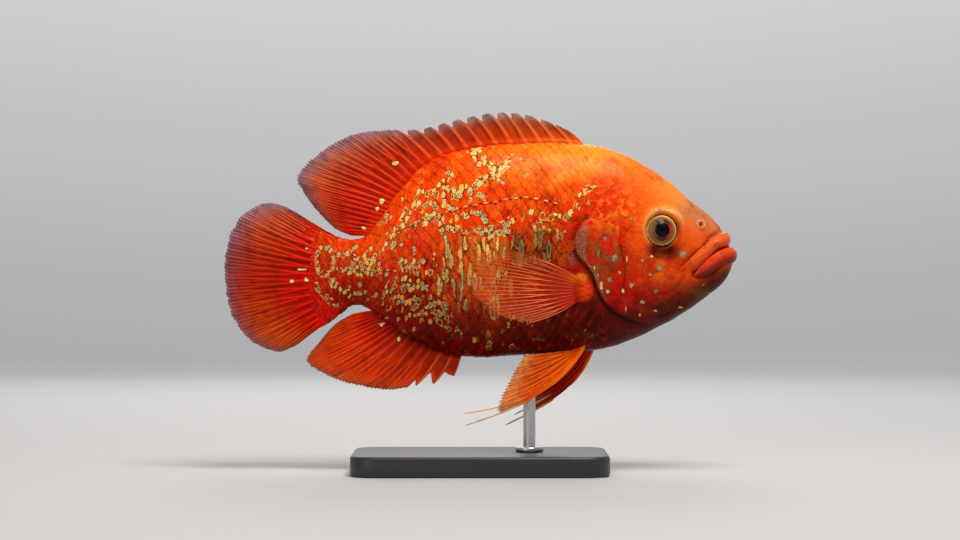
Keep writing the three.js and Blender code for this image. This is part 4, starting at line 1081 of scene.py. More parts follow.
scale_finish, tree, shader = new_finish("wet_scale")
place, ground = object_place(tree), kept(tree, "Paint")
lines, covered, _ = kept(tree, "Lines").parts()
on_plate = add_node(tree, "ShaderNodeSeparateXYZ", {0: add_node(tree, "ShaderNodeUVMap", uv_map="Scale")})
to_rear, to_side = on_plate[0], on_plate[1]
ragged, coarse = place.noise(760, 4, 0.7) - 0.5, place.noise(230) - 0.5
radius = (to_rear * to_rear + to_side * to_side).maths("SQRT")
rim_shade = (radius + ragged * 0.35).step(0.84, 0.96) * coarse.step(-0.12, 0.08)
rear_glint = (to_rear + ragged * 1.6).step(0.72, 0.95) * coarse.step(0.0, 0.2)
along, across, _ = kept(tree, "Flank").parts()
bright = kept(tree, "Bands").parts()[2]
wisp = add_node(tree, "ShaderNodeCombineXYZ", {0: along * 0.5, 1: across * 0.17}).noise(1.0, 4, 0.6)
dark_wisp, glint_wisp = ((wisp - level).maths("ABSOLUTE").step(0.03, 0.008) for level in (0.47, 0.56))
colour, grain = mottled(ground, 110, 0.6)
# Each scale is lightened towards its free edge as painted sheen, with painted glints on the edge. Its root,
# under the scale in front, and its rear rim are darkened as painted shade. The dark wisps are the scales' own
# streaks; the light ones are painted glints.
for amount, code, way in (
    ((to_rear + coarse * 1.2).step(0.15, 0.75) * 0.55, (1.0, 0.62, 0.08), "SOFT_LIGHT"),
    (rear_glint * 0.45, blend(0.5, ground, "FFB040"), "MIX"),
    ((to_rear + coarse * 0.9).step(0.25, -0.1) * covered * 0.8, (0.34, 0.03, 0.02), "MULTIPLY"),
    (rim_shade * (lines * to_rear.step(0.1, 0.55)) * 0.95, (0.12, 0.02, 0.01), "MULTIPLY"),
    (dark_wisp * (lines * lines), (0.14, 0.02, 0.01), "MULTIPLY"),
    (glint_wisp * bright * 0.25, "FF8A24", "MIX"),
):
    colour = blend(amount, colour, code, way)
colour, raised = flecked(colour)
dress(
    shader, Base_Color=colour, Roughness=ragged * 0.2 + 0.32, Normal=bump(raised * 0.5 + grain, 0.00014),
    Specular_IOR_Level=0.09, Specular_Tint=(1, 0.5, 0.25), Coat_Weight=0.07, Coat_Roughness=0.14,
    Coat_IOR=1.4,
)

# The lateral line: a row of small sense tubes, one on each scale, high on the shoulder and then on the
# middle of the tail stalk, with dark pits between them. Each pit is a dark lump, painted shade where a hollow
# pit would be.
LATERAL_LINES = [
    [(38, 31.5), (34.3, 32.8), (29.3, 34.1), (23.7, 34.5), (18.8, 34.5), (13.8, 34.1), (8.2, 32.8),
     (2.6, 32.0), (-4, 31), (-12, 29), (-18, 27), (-23, 24.8), (-30, 23.2), (-35, 20.8), (-39, 19.2)],
    [(-39, -0.5), (-47, -0.2), (-55, 0.2), (-63, 0.6), (-72, 0.8)],
]
FIRST_TUBE = 2.0
TUBE_PARTS = (    # how far back, half length, half thickness and lift of a tube and of the pit behind it
    (0, 1.25, 0.42, 0.3, "E8B050"), (0.5, 0.85, 0.3, 0.42, "2A0803"),
)


def lateral_tubes(name, side, seed):
    """The tubes and pits of one flank, joined as one piece."""
    chance = np.random.default_rng(seed)
    pieces = []
    for line in LATERAL_LINES:
        line = smooth_line(line, 240)
        travel = np.concatenate([[0], np.cumsum(np.hypot(*np.diff(line, axis=0).T))])
        middle = FIRST_TUBE
        while middle < travel[-1] - FIRST_TUBE:
            size = float(size_at(np.interp(middle, travel, line[:, 0])))
            for offset, half, thick, lift, code in TUBE_PARTS:
                where = middle + offset * SCALE_PITCH * size
                tube, along, around = add_grid("tube", 8, 8)
                at = where + half * size * (2 * along - 1)
                spot_x = np.interp(at, travel, line[:, 0])
                spot_z = np.interp(at, travel, line[:, 1]) + 0.25 * chance.normal()
                turn = around * 2 * math.pi
                radius = thick * size * np.sqrt(np.clip(1 - (2 * along - 1) ** 2, 0, 1))
                spot_z += radius * np.sin(turn)
                out = half_width(spot_x, spot_z) + lift * size - 0.15 + radius * np.cos(turn)
                shape_piece(tube, np.stack([spot_x, side * out + sway(spot_x), spot_z], axis=1))
                tone = np.clip(dye(code) * (1 + 0.1 * chance.normal()), 0, 1)
                colour_points(tube, Paint=np.tile(tone, (len(along), 1)))
                close_piece(tube)
                pieces.append(tube)
            middle += SCALE_PITCH * size
    pick(*pieces)
    bpy.ops.object.join()
    pieces[0].name = pieces[0].data.name = name
    return pieces[0]


tube_finish, tree, shader = new_finish("sense_tube")
dress(shader, Base_Color=mottled(kept(tree, "Paint"), 400, 0.5)[0], Roughness=0.4)
for word, side, seed in (("right", -1, 61), ("left", 1, 62)):
    tubes = lateral_tubes("lateral_line_" + word, side, seed)
    tubes.data.materials.append(tube_finish)
    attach(tubes, "root")

# The coats themselves, hung over the skin once their scale is made: one for each flank, in a front and a
# rear piece, so that no piece holds too many scales. Front and rear are laid with draws of their own.
COAT_PARTING_X = -6
COAT_END_X = 90
for coat_name, side, low_x, high_x, seed in (
    ("scales_right_front", -1, COAT_PARTING_X, COAT_END_X, 11),
    ("scales_right_rear", -1, -COAT_END_X, COAT_PARTING_X, 12),
    ("scales_left_front", 1, COAT_PARTING_X, COAT_END_X, 23),
    ("scales_left_rear", 1, -COAT_END_X, COAT_PARTING_X, 24),
):
    coat = coat_piece(coat_name, side, low_x, high_x, seed)
    coat.data.materials.append(scale_finish)
    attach(coat, "root")

# The fins. Each is a thin membrane between bony rays: spines in front that end in points with a flap of
# membrane behind them, and soft rays that fork twice on their way out. A fin is drawn by guide rays from
# the front one to the last, each with its root, its tip and its bow, and is one closed sheet of two faces.
MEMBRANE_HALF = 0.13
SHEATH_REACH = 0.2
FIN_SPOTS = [
    (-47.7, 33.8, 1.5, 1.7), (-50.0, 29.8, 1.1, 1.2), (-41.3, 52.0, 1.9, 1.5), (-56.6, 20.4, 1.5, 1.0),
    (-91.6, -5.5, 1.4, 0.9), (-84.5, -4.7, 1.2, 1.3), (-86.6, 0.3, 3.0, 0.6), (-84.5, 10.6, 0.8, 0.8),
    (-47.9, -26.6, 1.2, 1.2), (-39.6, -33.7, 1.2, 1.4), (-80.4, -13.2, 1.6, 0.8), (-77.0, -17.4, 3.0, 0.7),
]
ROOT_SINK = 2.2
MASK_RAYS = 40    # a fin's mask holds the number of a ray as a share of this


def fin_point(fin, place, share):
    """A point of a fin's middle surface: at a place among its guides and a share of the way out."""
    guide = between(fin["guides"], place)
    root, tip, bow = guide[..., 0:3], guide[..., 3:6], guide[..., 6:7]
    along = tip - root
    bend = root + along * fin.get("bend_at", 0.5)
    bend = bend + bow * np.stack([-along[..., 2], 0 * along[..., 0], along[..., 0]], axis=-1)
    t = np.asarray(share, float)[..., None]
    point = (1 - t) ** 2 * root + 2 * t * (1 - t) * bend + t * t * tip
    point[..., 1] += sway(point[..., 0]) + fin["wave"](place, np.maximum(0, share))
    return point


def fin_normal(fin, place, share):
    """The sideways direction of a fin's middle surface, and the direction along its rays."""
    out = np.maximum(share, 0.22)
    along = fin_point(fin, place, out + 0.02) - fin_point(fin, place, out - 0.02)
    across = fin_point(fin, place + 0.02, out) - fin_point(fin, place - 0.02, out)
    along = along / np.linalg.norm(along, axis=-1, keepdims=True)
    normal = np.cross(along, across)
    return normal / np.linalg.norm(normal, axis=-1, keepdims=True), along


def fin_sheet(name, fin, columns_per_ray=14, rows=44):
    """Shapes a fin's sheet and keeps with each vertex where it lies on its ray."""
    rays, soft = np.array(fin["rays"]), np.array(fin["soft"], float)
    counts = np.arange(len(rays))
    columns = (len(rays) - 1) * columns_per_ray
    sheet, grid_u, grid_v = add_grid(name, columns, 2 * rows)
    margin = fin.get("margin", 0.07)
    index = grid_u * (len(rays) - 1 + 2 * margin) - margin
    place = np.interp(index, np.concatenate([[-1], counts, [len(rays)]]),
                      np.concatenate([[2 * rays[0] - rays[1]], rays, [2 * rays[-1] - rays[-2]]]))
    out = 1 - np.abs(grid_v * 2 - 1)
    side = np.where(grid_v < 0.5, 1.0, -1.0)
    nearest = np.clip(np.round(index), 0, len(rays) - 1).astype(int)
    offset = index - nearest
    forks = soft[nearest]
    behind = index - np.floor(index + 1e-6)
    lappet = fin.get("lappet", [1, 0.995, 0.97, 0.93, 0.76, 0.9, 1])
    reach_spine = np.interp(behind, [0, 0.12, 0.5, 0.6, 0.86, 0.94, 1], lappet)
    fork_1 = 0.25 * smooth_step(0.25, 0.6, out) * forks
    fork_2 = 0.125 * smooth_step(0.55, 0.9, out) * forks * fin.get("forks", 1.0)
    away = np.abs(np.abs(np.abs(offset) - fork_1) - fork_2)
    last_away = np.abs(np.abs(np.abs(offset) - 0.25) - 0.125)
    soft_here = np.interp(index, counts, soft)
    chance = np.random.default_rng(fin["seed"])
    fray = np.interp(index, np.linspace(-1, len(rays), 4 * len(rays)), chance.normal(0, 1, 4 * len(rays)))
    reach_soft = 1 - fin.get("notch", 0.022) * smooth_step(0.02, 0.12, last_away) + 0.006 * fray
    reach = np.where(soft_here > 0.5, reach_soft, reach_spine)
    share = out * reach
    gap_line = fin_point(fin, place + 0.02, share) - fin_point(fin, place - 0.02, share)
    per_ray = np.interp(index, counts[:-1] + 0.5, np.diff(rays)) if len(rays) > 2 else 1
    gap = np.linalg.norm(gap_line, axis=1) / 0.04 * per_ray
    width = np.where(forks > 0, fin["ray_width"], fin.get("spine_width", 0.7)) * (1 - 0.55 * out)
    ray = bell(away * gap, width)
    normal, along = fin_normal(fin, place, share)
    sheath = fin["root_half"] * np.maximum(0, 1 - out / SHEATH_REACH) ** 1.3
    thick = MEMBRANE_HALF + ray * fin["ray_height"] * (1 - 0.7 * out)
    thick = np.maximum(thick, sheath + 0.4 * thick)
    ends = np.clip(np.minimum(index + margin, len(rays) - 1 + margin - index) / margin, 0, 1)
    thick = thick * np.sqrt(np.clip(ends, 0, 1)) * np.sqrt(np.clip((1 - out) * 18, 0, 1))
    thick = thick * np.clip(out * 30, 0, 1)
    ripple = np.sin(2 * math.pi * index * np.where(forks > 0, 2, 1)) * smooth_step(0.15, 0.7, out)
    stand = side * thick + fin.get("ripple", 0.07) * ripple
    points = fin_point(fin, place, share) + normal * stand[:, None]
    sink = fin.get("sink", ROOT_SINK) * np.maximum(0, 1 - out * rows / 2)
    heading = fin.get("heading")
    points -= (along if heading is None else np.array(heading)) * sink[:, None]
    shape_piece(sheet, points)
    shades = washed(fin["washes"], place, out * reach * 10)
    if "joined" in fin:
        own = smooth_step(0, fin["joined"], out)[:, None]
        shades = shades * own + paint(points[:, 0], points[:, 2]) * (1 - own)
    # The valleys between the rays and a line behind each spine, which the finish darkens as painted shade in
    # the folds.
    valley = bell((0.5 - np.abs(offset)) * gap, 0.3 + 0.35 * out) * soft_here
    valley = np.maximum(valley, bell(behind - 0.2, 0.07) * (1 - soft_here) * smooth_step(0.05, 0.2, out))
    streak = np.interp(index, np.linspace(-1, len(rays), 6 * len(rays)), chance.normal(0, 1, 6 * len(rays)))
    shades = np.clip(shades * (1 + 0.14 * streak * smooth_step(0.1, 0.4, out))[:, None], 0, 1)
    specks = [hump(points[:, 0], points[:, 2], spot[:2], spot[2], spot[3]) for spot in FIN_SPOTS]
    colour_points(
        sheet, Paint=shades,
        Specks=(np.max(specks, axis=0), ray * (1 - soft_here), index / MASK_RAYS, soft_here),
        Rays=(ray, np.clip(out, 0, 1), valley),
    )
    close_piece(sheet)
    return sheet


def strand(name, points, start_radius, end_radius, steps=40, sides=12):
    """A round tapering strand along a line of points, closed at both ends."""
    tube, along, around = add_grid(name, steps, sides)
    points = np.asarray(points, float)
    at = along * (len(points) - 1)
    line, ahead, behind = (between(points, np.clip(at + off, 0, len(points) - 1)) for off in (0, 0.02, -0.02))
    way = ahead - behind
    way /= np.linalg.norm(way, axis=1, keepdims=True)
    across = np.cross(np.array([0, 1, 0]), way)
    across /= np.linalg.norm(across, axis=1, keepdims=True)
    up = np.cross(way, across)
    ends = np.sqrt(np.clip(np.minimum(along, 1 - along) * 12, 0, 1))
    radius = (start_radius + (end_radius - start_radius) * along) * ends
    turn = around * 2 * math.pi
    ring = across * np.cos(turn)[:, None] + up * np.sin(turn)[:, None]
    shape_piece(tube, line + ring * radius[:, None])
    return tube, along


def still(place, share):
    """No waves."""
    return 0 * place * share


def median_guides(rows, column):
    """Guides of a fin in the middle plane, rooted on the back line (1) or the belly line (2)."""
    rows = np.array(rows)
    root_z = between(STATIONS, place_at(rows[:, 0]))[:, column]
    flat = np.zeros(len(rows))
    return np.stack([rows[:, 0], flat, root_z, rows[:, 1], flat, rows[:, 2], rows[:, 3]], axis=1)


fin_finish, tree, shader = new_finish("fin_membrane")
place = object_place(tree)
ray, way_out, valley = kept(tree, "Rays").parts()
specks = kept(tree, "Specks")
spot, spine, ray_number = specks.parts()
speck = place.noise(420, 3)
inner = way_out.step(0.92, 0.7)
uneven = place.noise(60, 3).step(0.35, 0.65) * 0.45 + 0.2
forked = (ray_number * (MASK_RAYS * 8 * math.pi)).maths("COSINE").step(0.1, 0.95) * way_out.step(0.3, 0.6)
spot = spot + (place.noise(700, 3) - 0.5)
colour, grain = mottled(kept(tree, "Paint"), 200, 0.4)
# The membrane is darker than its rays. The valleys between them and the fin's root at the body are darkened as
# painted shade.
for amount, code, way in (
    ((1.0 - ray) * (inner * 0.48), (0.45, 0.1, 0.05), "MULTIPLY"),
    (valley * inner * uneven, (0.3, 0.04, 0.03), "MULTIPLY"),
    (ray.step(0.25, 0.85) * inner * 0.75, (1.0, 0.6, 0.2), "SOFT_LIGHT"),
    ((speck * 0.03 + way_out).step(0.985, 1.01) * 0.4, (0.5, 0.33, 0.33), "MIX"),
    (forked * specks["Alpha"] * speck.step(0.3, 0.6) * 0.6, (0.4, 0.14, 0.12), "MULTIPLY"),
    (spine.step(0.3, 0.7) * way_out.step(0.0, 0.25) * 0.5, "DC6434", "MIX"),
    (way_out.step(0.2, 0.04) * 0.55, (0.75, 0.3, 0.2), "MULTIPLY"),
    (spot.step(0.25, 0.45) * 0.6, (0.08, 0.01, 0.005), "MIX"),
    (spot.step(0.45, 0.6), CREAM, "MIX"),
):
    colour = blend(amount, colour, code, way)
clearer = (1.0 - ray) * way_out.step(0.6, 0.95)
dress(
    shader, Base_Color=colour, Roughness=speck * 0.25 + 0.28, Normal=bump(ray * 0.7 + grain, 0.00012),
    Alpha=clearer * -0.07 + 1.0, Specular_IOR_Level=0.07, Specular_Tint=(1, 0.6, 0.35), Coat_Weight=0.05,
    Coat_Roughness=0.2,
)


def finish_fin(piece, cad_node, material=fin_finish):
    """Gives a fin its material, its place on the fish's body and the solid it stands in for."""
    piece.data.materials.append(material)
    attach(piece, "root")
    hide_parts(cad_node)


# The dorsal fin: thirteen spines, pinkish orange with a grey edge, then a tall sail of soft rays, deep red
# at its base and grey at its rim. Washes here are laid by place among the guides and tenths of the way out.
DORSAL_GUIDES = median_guides([
    (50.6, 42.3, 68.1, -0.08), (45.7, 35.5, 71.5, -0.1), (32.6, 21.4, 75.9, -0.1), (19.5, 9.2, 76.8, -0.1),
    (6.3, -4.4, 74.7, -0.1), (-6.8, -17.5, 71.5, -0.1), (-18.0, -30.6, 68.6, -0.08),
    (-27.2, -46.7, 68.3, -0.06), (-35.0, -63.2, 65.7, -0.05), (-39.9, -78.8, 56.9, -0.04),
    (-43.8, -89.0, 46.2, -0.02), (-47.2, -86.6, 38.4, 0), (-50.6, -79.8, 29.2, 0.03),
    (-53.5, -71.0, 20.4, 0.05), (-55.4, -63.2, 17.0, 0.05),
], 1)
dorsal = {
    "guides": DORSAL_GUIDES,
    "rays": list(np.linspace(0.1, 6.6, 13)) + list(np.linspace(7.05, 14, 20)),
    "soft": [0] * 13 + [1] * 20,
    "wave": lambda place, share: 1.6 * share * np.sin(1.1 * place),
    "root_half": 1.3, "ray_width": 0.6, "ray_height": 0.5, "spine_width": 1.15, "seed": 5, "joined": 0.2,
    "washes": [
        (0, 1, 3, 4, "F0680E"), (4, 1, 4, 3, "F04A0A"), (1, 5.5, 2, 3, "A8602C"),
        (3.5, 5.5, 2.5, 3, "B8421A"), (6, 5, 2, 3, "B83C12"), (1.5, 9.6, 3, 2.6, "8E8474"),
        (4.5, 9.6, 2.5, 2.6, "988082"), (8, 1, 3, 3, "D01804"), (12, 1, 3, 3, "C81002"),
        (8, 5, 3, 3, "CC3A0C"), (12, 5, 3, 3, "C42408"), (6.9, 10.2, 1.6, 3.0, "8A7478"),
        (8.6, 10.4, 1.8, 3.0, "807480"), (10.4, 10.4, 1.3, 2.0, "846E78"), (9.4, 7.6, 2, 1.2, "DC6014"),
        (13, 9.9, 2, 1, "8A4434"),
    ],
}
finish_fin(fin_sheet("dorsal_sail", dorsal), "dorsal_fin")

# The anal fin: three short spines and sixteen soft rays in a membrane that is orange red with an olive brown
# rim. It grows from the belly line and mirrors the dorsal fin's rear part.
ANAL_GUIDES = median_guides([
    (-9.2, -12.6, -51.6, 0.04), (-13.6, -22.4, -55.5, 0.06), (-19.0, -31.1, -56.5, 0.06),
    (-26.8, -46.2, -58.2, 0.06), (-35.0, -63.2, -55.5, 0.06), (-40.9, -76.8, -50.4, 0.05),
    (-44.8, -84.6, -44.3, 0.03), (-48.2, -79.8, -36.5, 0.01), (-50.6, -70.5, -26.3, -0.02),
    (-53.0, -62.3, -21.4, -0.03),
], 2)
anal = {
    "guides": ANAL_GUIDES,
    "rays": [0, 1, 2] + list(np.linspace(2.6, 9, 16)),
    "soft": [0] * 3 + [1] * 16,
    "wave": lambda place, share: -1.4 * share * np.sin(0.9 * place),
    "root_half": 1.2, "ray_width": 0.6, "ray_height": 0.45, "spine_width": 0.9, "seed": 6, "joined": 0.12,
    "lappet": [1, 0.96, 0.76, 0.7, 0.56, 0.84, 1],
    "washes": [
        (1, 2, 3, 5, "C03A0C"), (5, 1, 3, 3, "CC1A04"), (8, 2, 2, 3, "C41604"), (4, 6, 4, 3, "E43A08"),
        (7, 7, 3, 3, "E8500C"), (4, 9.9, 5, 1.1, "9A4C22"), (8, 9.9, 2, 1.0, "8A4028"),
    ],
}
finish_fin(fin_sheet("anal_sail", anal, 16, 40), "anal_fin")

# The tail fin: a round fan of nineteen rays that grows out of the tail stalk's end, deep red with a grey
# violet rim that is broadest at the top. It sways a little to the fish's left.
TAIL_ROOT_X = -68.3
TAIL_ROOT_TOP = 15.6
TAIL_ROOT_BOTTOM = -21.6
TAIL_TIPS = [
    (-89.5, 28.0), (-97.0, 31.8), (-104.5, 32.8), (-111.0, 30.6), (-116.7, 26.2), (-121.6, 18.4),
    (-124.0, 9.7), (-124.9, 0.5), (-124.3, -8.8), (-122.6, -18.0), (-118.2, -27.3), (-111.8, -34.2),
    (-104.5, -38.4), (-97.0, -39.8), (-89.5, -36.6),
]
tail_rows = []
for k, (tip_x, tip_z) in enumerate(TAIL_TIPS):
    down = k / (len(TAIL_TIPS) - 1)
    root_z = TAIL_ROOT_TOP + (TAIL_ROOT_BOTTOM - TAIL_ROOT_TOP) * down
    tail_rows.append((TAIL_ROOT_X, 0, root_z, tip_x, 0, tip_z, 0.03 - 0.06 * down))
tail = {
    "guides": np.array(tail_rows),
    "rays": list(np.linspace(0, 14, 19)),
    "soft": [1] * 19,
    "wave": lambda place, share: 1.8 * share**2 * np.sin(0.93 * place),
    "root_half": 1.6, "ray_width": 0.75, "ray_height": 0.6, "seed": 7, "notch": 0.009, "sink": 0,
    "joined": 0.3,
    "washes": [
        (7, 1, 8, 3, "C80C03"), (7, 5, 4, 3, "C01604"), (2, 5, 3.4, 3, "C42206"), (12, 5, 3.4, 3, "BC0E02"),
        (2.6, 7.8, 2.6, 1.6, "B84A10"), (11.6, 7.8, 2.6, 1.7, "B84A0E"), (7, 8.2, 3.6, 1.6, "AE1A04"),
        (1.0, 10.2, 2.2, 2.3, "8490A4"), (3.8, 10.4, 2.4, 2.0, "7C7C90"), (7, 10.4, 3.6, 1.1, "6A505C"),
        (11.8, 10.4, 3, 1.3, "6A5060"), (3, 7.0, 2.8, 1.7, "CC5C0C"), (12, 7.2, 2.4, 1.6, "C8600E"),
    ],
}
finish_fin(fin_sheet("tail_fan", tail, 22, 60), "tail_fin")

# The pectoral fins: thin fans of thirteen fine pale rays in a clear orange membrane. Each is rooted in a
# muscular lobe behind the gill cover and stands off the flank.
PECTORAL_TIPS = [
    (8.3, 10.2), (-1.0, 7.8), (-5.8, 2.4), (-6.3, -4.9), (-2.9, -12.2), (4.9, -19.0), (13.6, -23.3),
    (24.3, -25.3),
]
PECTORAL_ROOT_TOP = (49.4, -5.0)
PECTORAL_ROOT_DROP = (-2.6, -10)
PECTORAL_SPREAD = 17
clear_fin, tree, shader = new_finish("clear_fin_membrane")
ray, way_out, _ = kept(tree, "Rays").parts()
bony = ray.step(0.15, 0.65)
solid_part = (bony * 0.8).maths("MAXIMUM", way_out.step(0.36, 0.12))
dress(
    shader, Base_Color=blend(bony * way_out.step(0.1, 0.5), kept(tree, "Paint"), "FF8450"),
    Roughness=object_place(tree).noise(420, 3) * 0.2 + 0.28, Normal=bump(ray, 0.0001),
    Alpha=(solid_part * 0.7 + 0.14) * way_out.step(0.0, 0.09), Specular_IOR_Level=0.12,
)
for side, word in ((-1, "right"), (1, "left")):
    rows = []
    for k, (tip_x, tip_z) in enumerate(PECTORAL_TIPS):
        down = k / (len(PECTORAL_TIPS) - 1)
        root_x, root_z = (top + drop * down for top, drop in zip(PECTORAL_ROOT_TOP, PECTORAL_ROOT_DROP))
        root_y = side * (float(half_width(root_x, root_z)) - 0.2)
        tip_y = side * (float(half_width(tip_x, tip_z)) + PECTORAL_SPREAD * (1 - 0.3 * down))
        rows.append((root_x, root_y, root_z, tip_x, tip_y, tip_z, -0.1 + 0.2 * down))
    pectoral = {
        "guides": np.array(rows), "rays": list(np.linspace(0, 7, 13)), "soft": [1] * 13, "wave": still,
        "root_half": 1.2, "ray_width": 0.31, "ray_height": 0.35, "seed": 30 + side, "ripple": 0.1,
        "forks": 0.0,
        "washes": [
            (0, 0.6, 1.2, 1.6, "FF7A18"), (4, 1.2, 3, 2.2, "B80C03"), (1, 5, 3, 4, "E04A12"),
            (5, 5, 3, 4, "D8300A"), (3, 9, 5, 3, "E86A24"),
        ],
    }
    finish_fin(fin_sheet("pectoral_fan_" + word, pectoral, 18, 44), "pectoral_fin_" + word, clear_fin)

# The pelvic fins: a stout spine in front and soft rays behind it, the first two of which run out in long
# loose threads. They hang from the belly behind the throat, the right one swung back farther than the left.
PELVICS = {
    "right": (-1, 50.2, [
        (8.9, -68.8, 0.2, 13.0), (8.1, -66.7, 0.19, 14.0), (8.8, -64.4, 0.17, 14.5),
        (12.2, -57.0, 0.1, 14.5), (16.5, -48.6, 0.05, 13.5), (21.1, -41.2, 0, 12.5),
    ], [(-7.2, -74.8, 13.5), (-7.9, -68.9, 15.5)]),
    "left": (1, 55.6, [
        (21.6, -70.6, 0.25, 13.0), (22.0, -67.4, 0.22, 14.0), (23.6, -63.6, 0.17, 14.5),
        (26.0, -56.3, 0.1, 14.5), (28.6, -49.0, 0.05, 13.5), (32.0, -42.0, 0, 12.5),
    ], [(12.4, -76.2, 13.5), (16.4, -71.4, 15.0)]),
}
# The right fin's tones are brightened as painted light against the shade under the belly; the left fin's are
# darkened as painted shade.
PELVIC_LIT_AND_SHADED_TONES = {
    "right": ("FF9A20", "FF5A0C", "FF780F", "F0A860"), "left": ("D03A0A", "B8200A", "8A1806", "B0583A"),
}
PELVIC_ROOT_LENGTH = 5.4
PELVIC_ROOT_Y = 7.5
PELVIC_ROOT_TURN = 2.5
THREAD_START = 0.7


def belly_level(x, y):
    """Height of the belly's skin at a place seen from below."""
    _, back, belly, half = between(STATIONS, place_at(x))
    middle = belly + (back - belly) * WIDEST_SHARE
    return middle - (middle - belly) * math.sqrt(1 - (abs(y) / half) ** (2 / BELLY_SHARPNESS))


for word, (side, front_x, tips, threads) in PELVICS.items():
    fore, middle, hind, rim = PELVIC_LIT_AND_SHADED_TONES[word]
    rows = []
    for k, (tip_x, tip_z, bow, tip_y) in enumerate(tips):
        inward = k / (len(tips) - 1)
        root_x, root_y = front_x - PELVIC_ROOT_LENGTH * inward, PELVIC_ROOT_Y - PELVIC_ROOT_TURN * inward
        root_z = belly_level(root_x, root_y)
        rows.append((root_x, side * root_y, root_z, tip_x, side * tip_y, tip_z, bow))
    pelvic = {
        "guides": np.array(rows), "rays": list(np.linspace(0, 5, 8)), "soft": [1] * 8, "wave": still,
        "bend_at": 0.44, "root_half": 1, "ray_width": 0.5, "ray_height": 0.5, "seed": 40 + side,
        "heading": (-0.35, 0, -0.94), "notch": 0.03,
        "washes": [
            (0, 2, 1.2, 5, fore), (2, 2, 2, 4, middle), (4.5, 3, 2, 5, hind), (1.6, 7, 2, 3, middle),
            (3, 9.4, 2, 1.6, rim), (0.5, 9.6, 1.5, 1.6, rim),
        ],
    }
    sheet = fin_sheet("pelvic_fan_" + word, pelvic, 18, 50)
    spine_line = fin_point(pelvic, np.zeros(6), np.linspace(-0.03, 0.5, 6))
    strands = [strand("pelvic_spine_" + word, spine_line, 0.95, 0.45)]
    for k, (x, z, y) in enumerate(threads):
        root_at = np.array([float(k)]), np.array([THREAD_START])
        start, heading = fin_point(pelvic, *root_at)[0], fin_normal(pelvic, *root_at)[1][0]
        tip = np.array([x, side * y, z])
        bend = start + heading * 0.36 * np.linalg.norm(tip - start)
        t = np.linspace(0, 1, 9)[:, None]
        curve = (1 - t) ** 2 * start + 2 * t * (1 - t) * bend + t * t * tip
        strands.append(strand("pelvic_thread_%d_%s" % (k, word), curve, 0.6, 0.4))
    for tube, along in strands:
        pale_part = smooth_step(0.0, 0.45, along)[:, None] * (0 if "spine" in tube.name else 1)
        colour_points(
            tube, Paint=dye("F0640F") * (1 - pale_part) + dye("F0C8BC") * pale_part,
            Specks=np.zeros((len(along), 4)), Rays=(np.ones(len(along)), 0.3 + 0.4 * along, 0 * along),
        )
        close_piece(tube)
    pick(sheet, *(tube for tube, _ in strands))
    bpy.ops.object.join()
    finish_fin(sheet, "pelvic_fin_" + word)

# The lips: two soft wrinkled rolls of skin that run round the front of the jaws from one corner of the
# mouth to the other. The upper one is orange, the lower one orange red and darker underneath, partly its own
# colour and partly painted shade. Each roll's inner side, against the head, is darkened as painted shade.
LIPS = {
    "upper_lip": [
        (100.4, 0.6, 1.9, 1.2, -0.8), (102.8, 3.2, 2.9, 2.0, -0.9), (107.2, 7.2, 3.1, 2.3, -0.9),
        (112.6, 11.9, 3.0, 2.5, -0.8), (117.3, 14.4, 3.2, 2.7, -0.6), (119.0, 14.9, 3.6, 2.8, 0),
    ],
    "lower_lip": [
        (103.6, -2.6, 1.4, 0.9, -0.5), (107.0, -0.6, 2.9, 1.7, -0.8), (111.6, 2.6, 3.8, 2.2, -0.8),
        (116.6, 5.7, 4.1, 2.6, -0.8), (120.6, 6.8, 4.1, 2.9, -0.8), (121.9, 7.0, 4.1, 3.0, 0),
    ],
}
LIP_TONES = {    # below, above and at the mouth's corner, and how much of the last
    "upper_lip": ("DC4A12", "DE6024", "D24A10", 0.6), "lower_lip": ("7C0602", "E0441C", "E0441C", 0.0),
}
LIP_AXIS_X = 100
lip_finish, tree, shader = new_finish("lip_hide")
colour, grain = mottled(kept(tree, "Paint"), 220, 0.5)
dress(
    shader, Base_Color=colour, Roughness=grain * 0.12 + 0.26, Normal=bump(grain, 0.0005),
    Specular_IOR_Level=0.14, Specular_Tint=(1, 0.6, 0.4), Coat_Weight=0.11, Coat_Roughness=0.16,
)
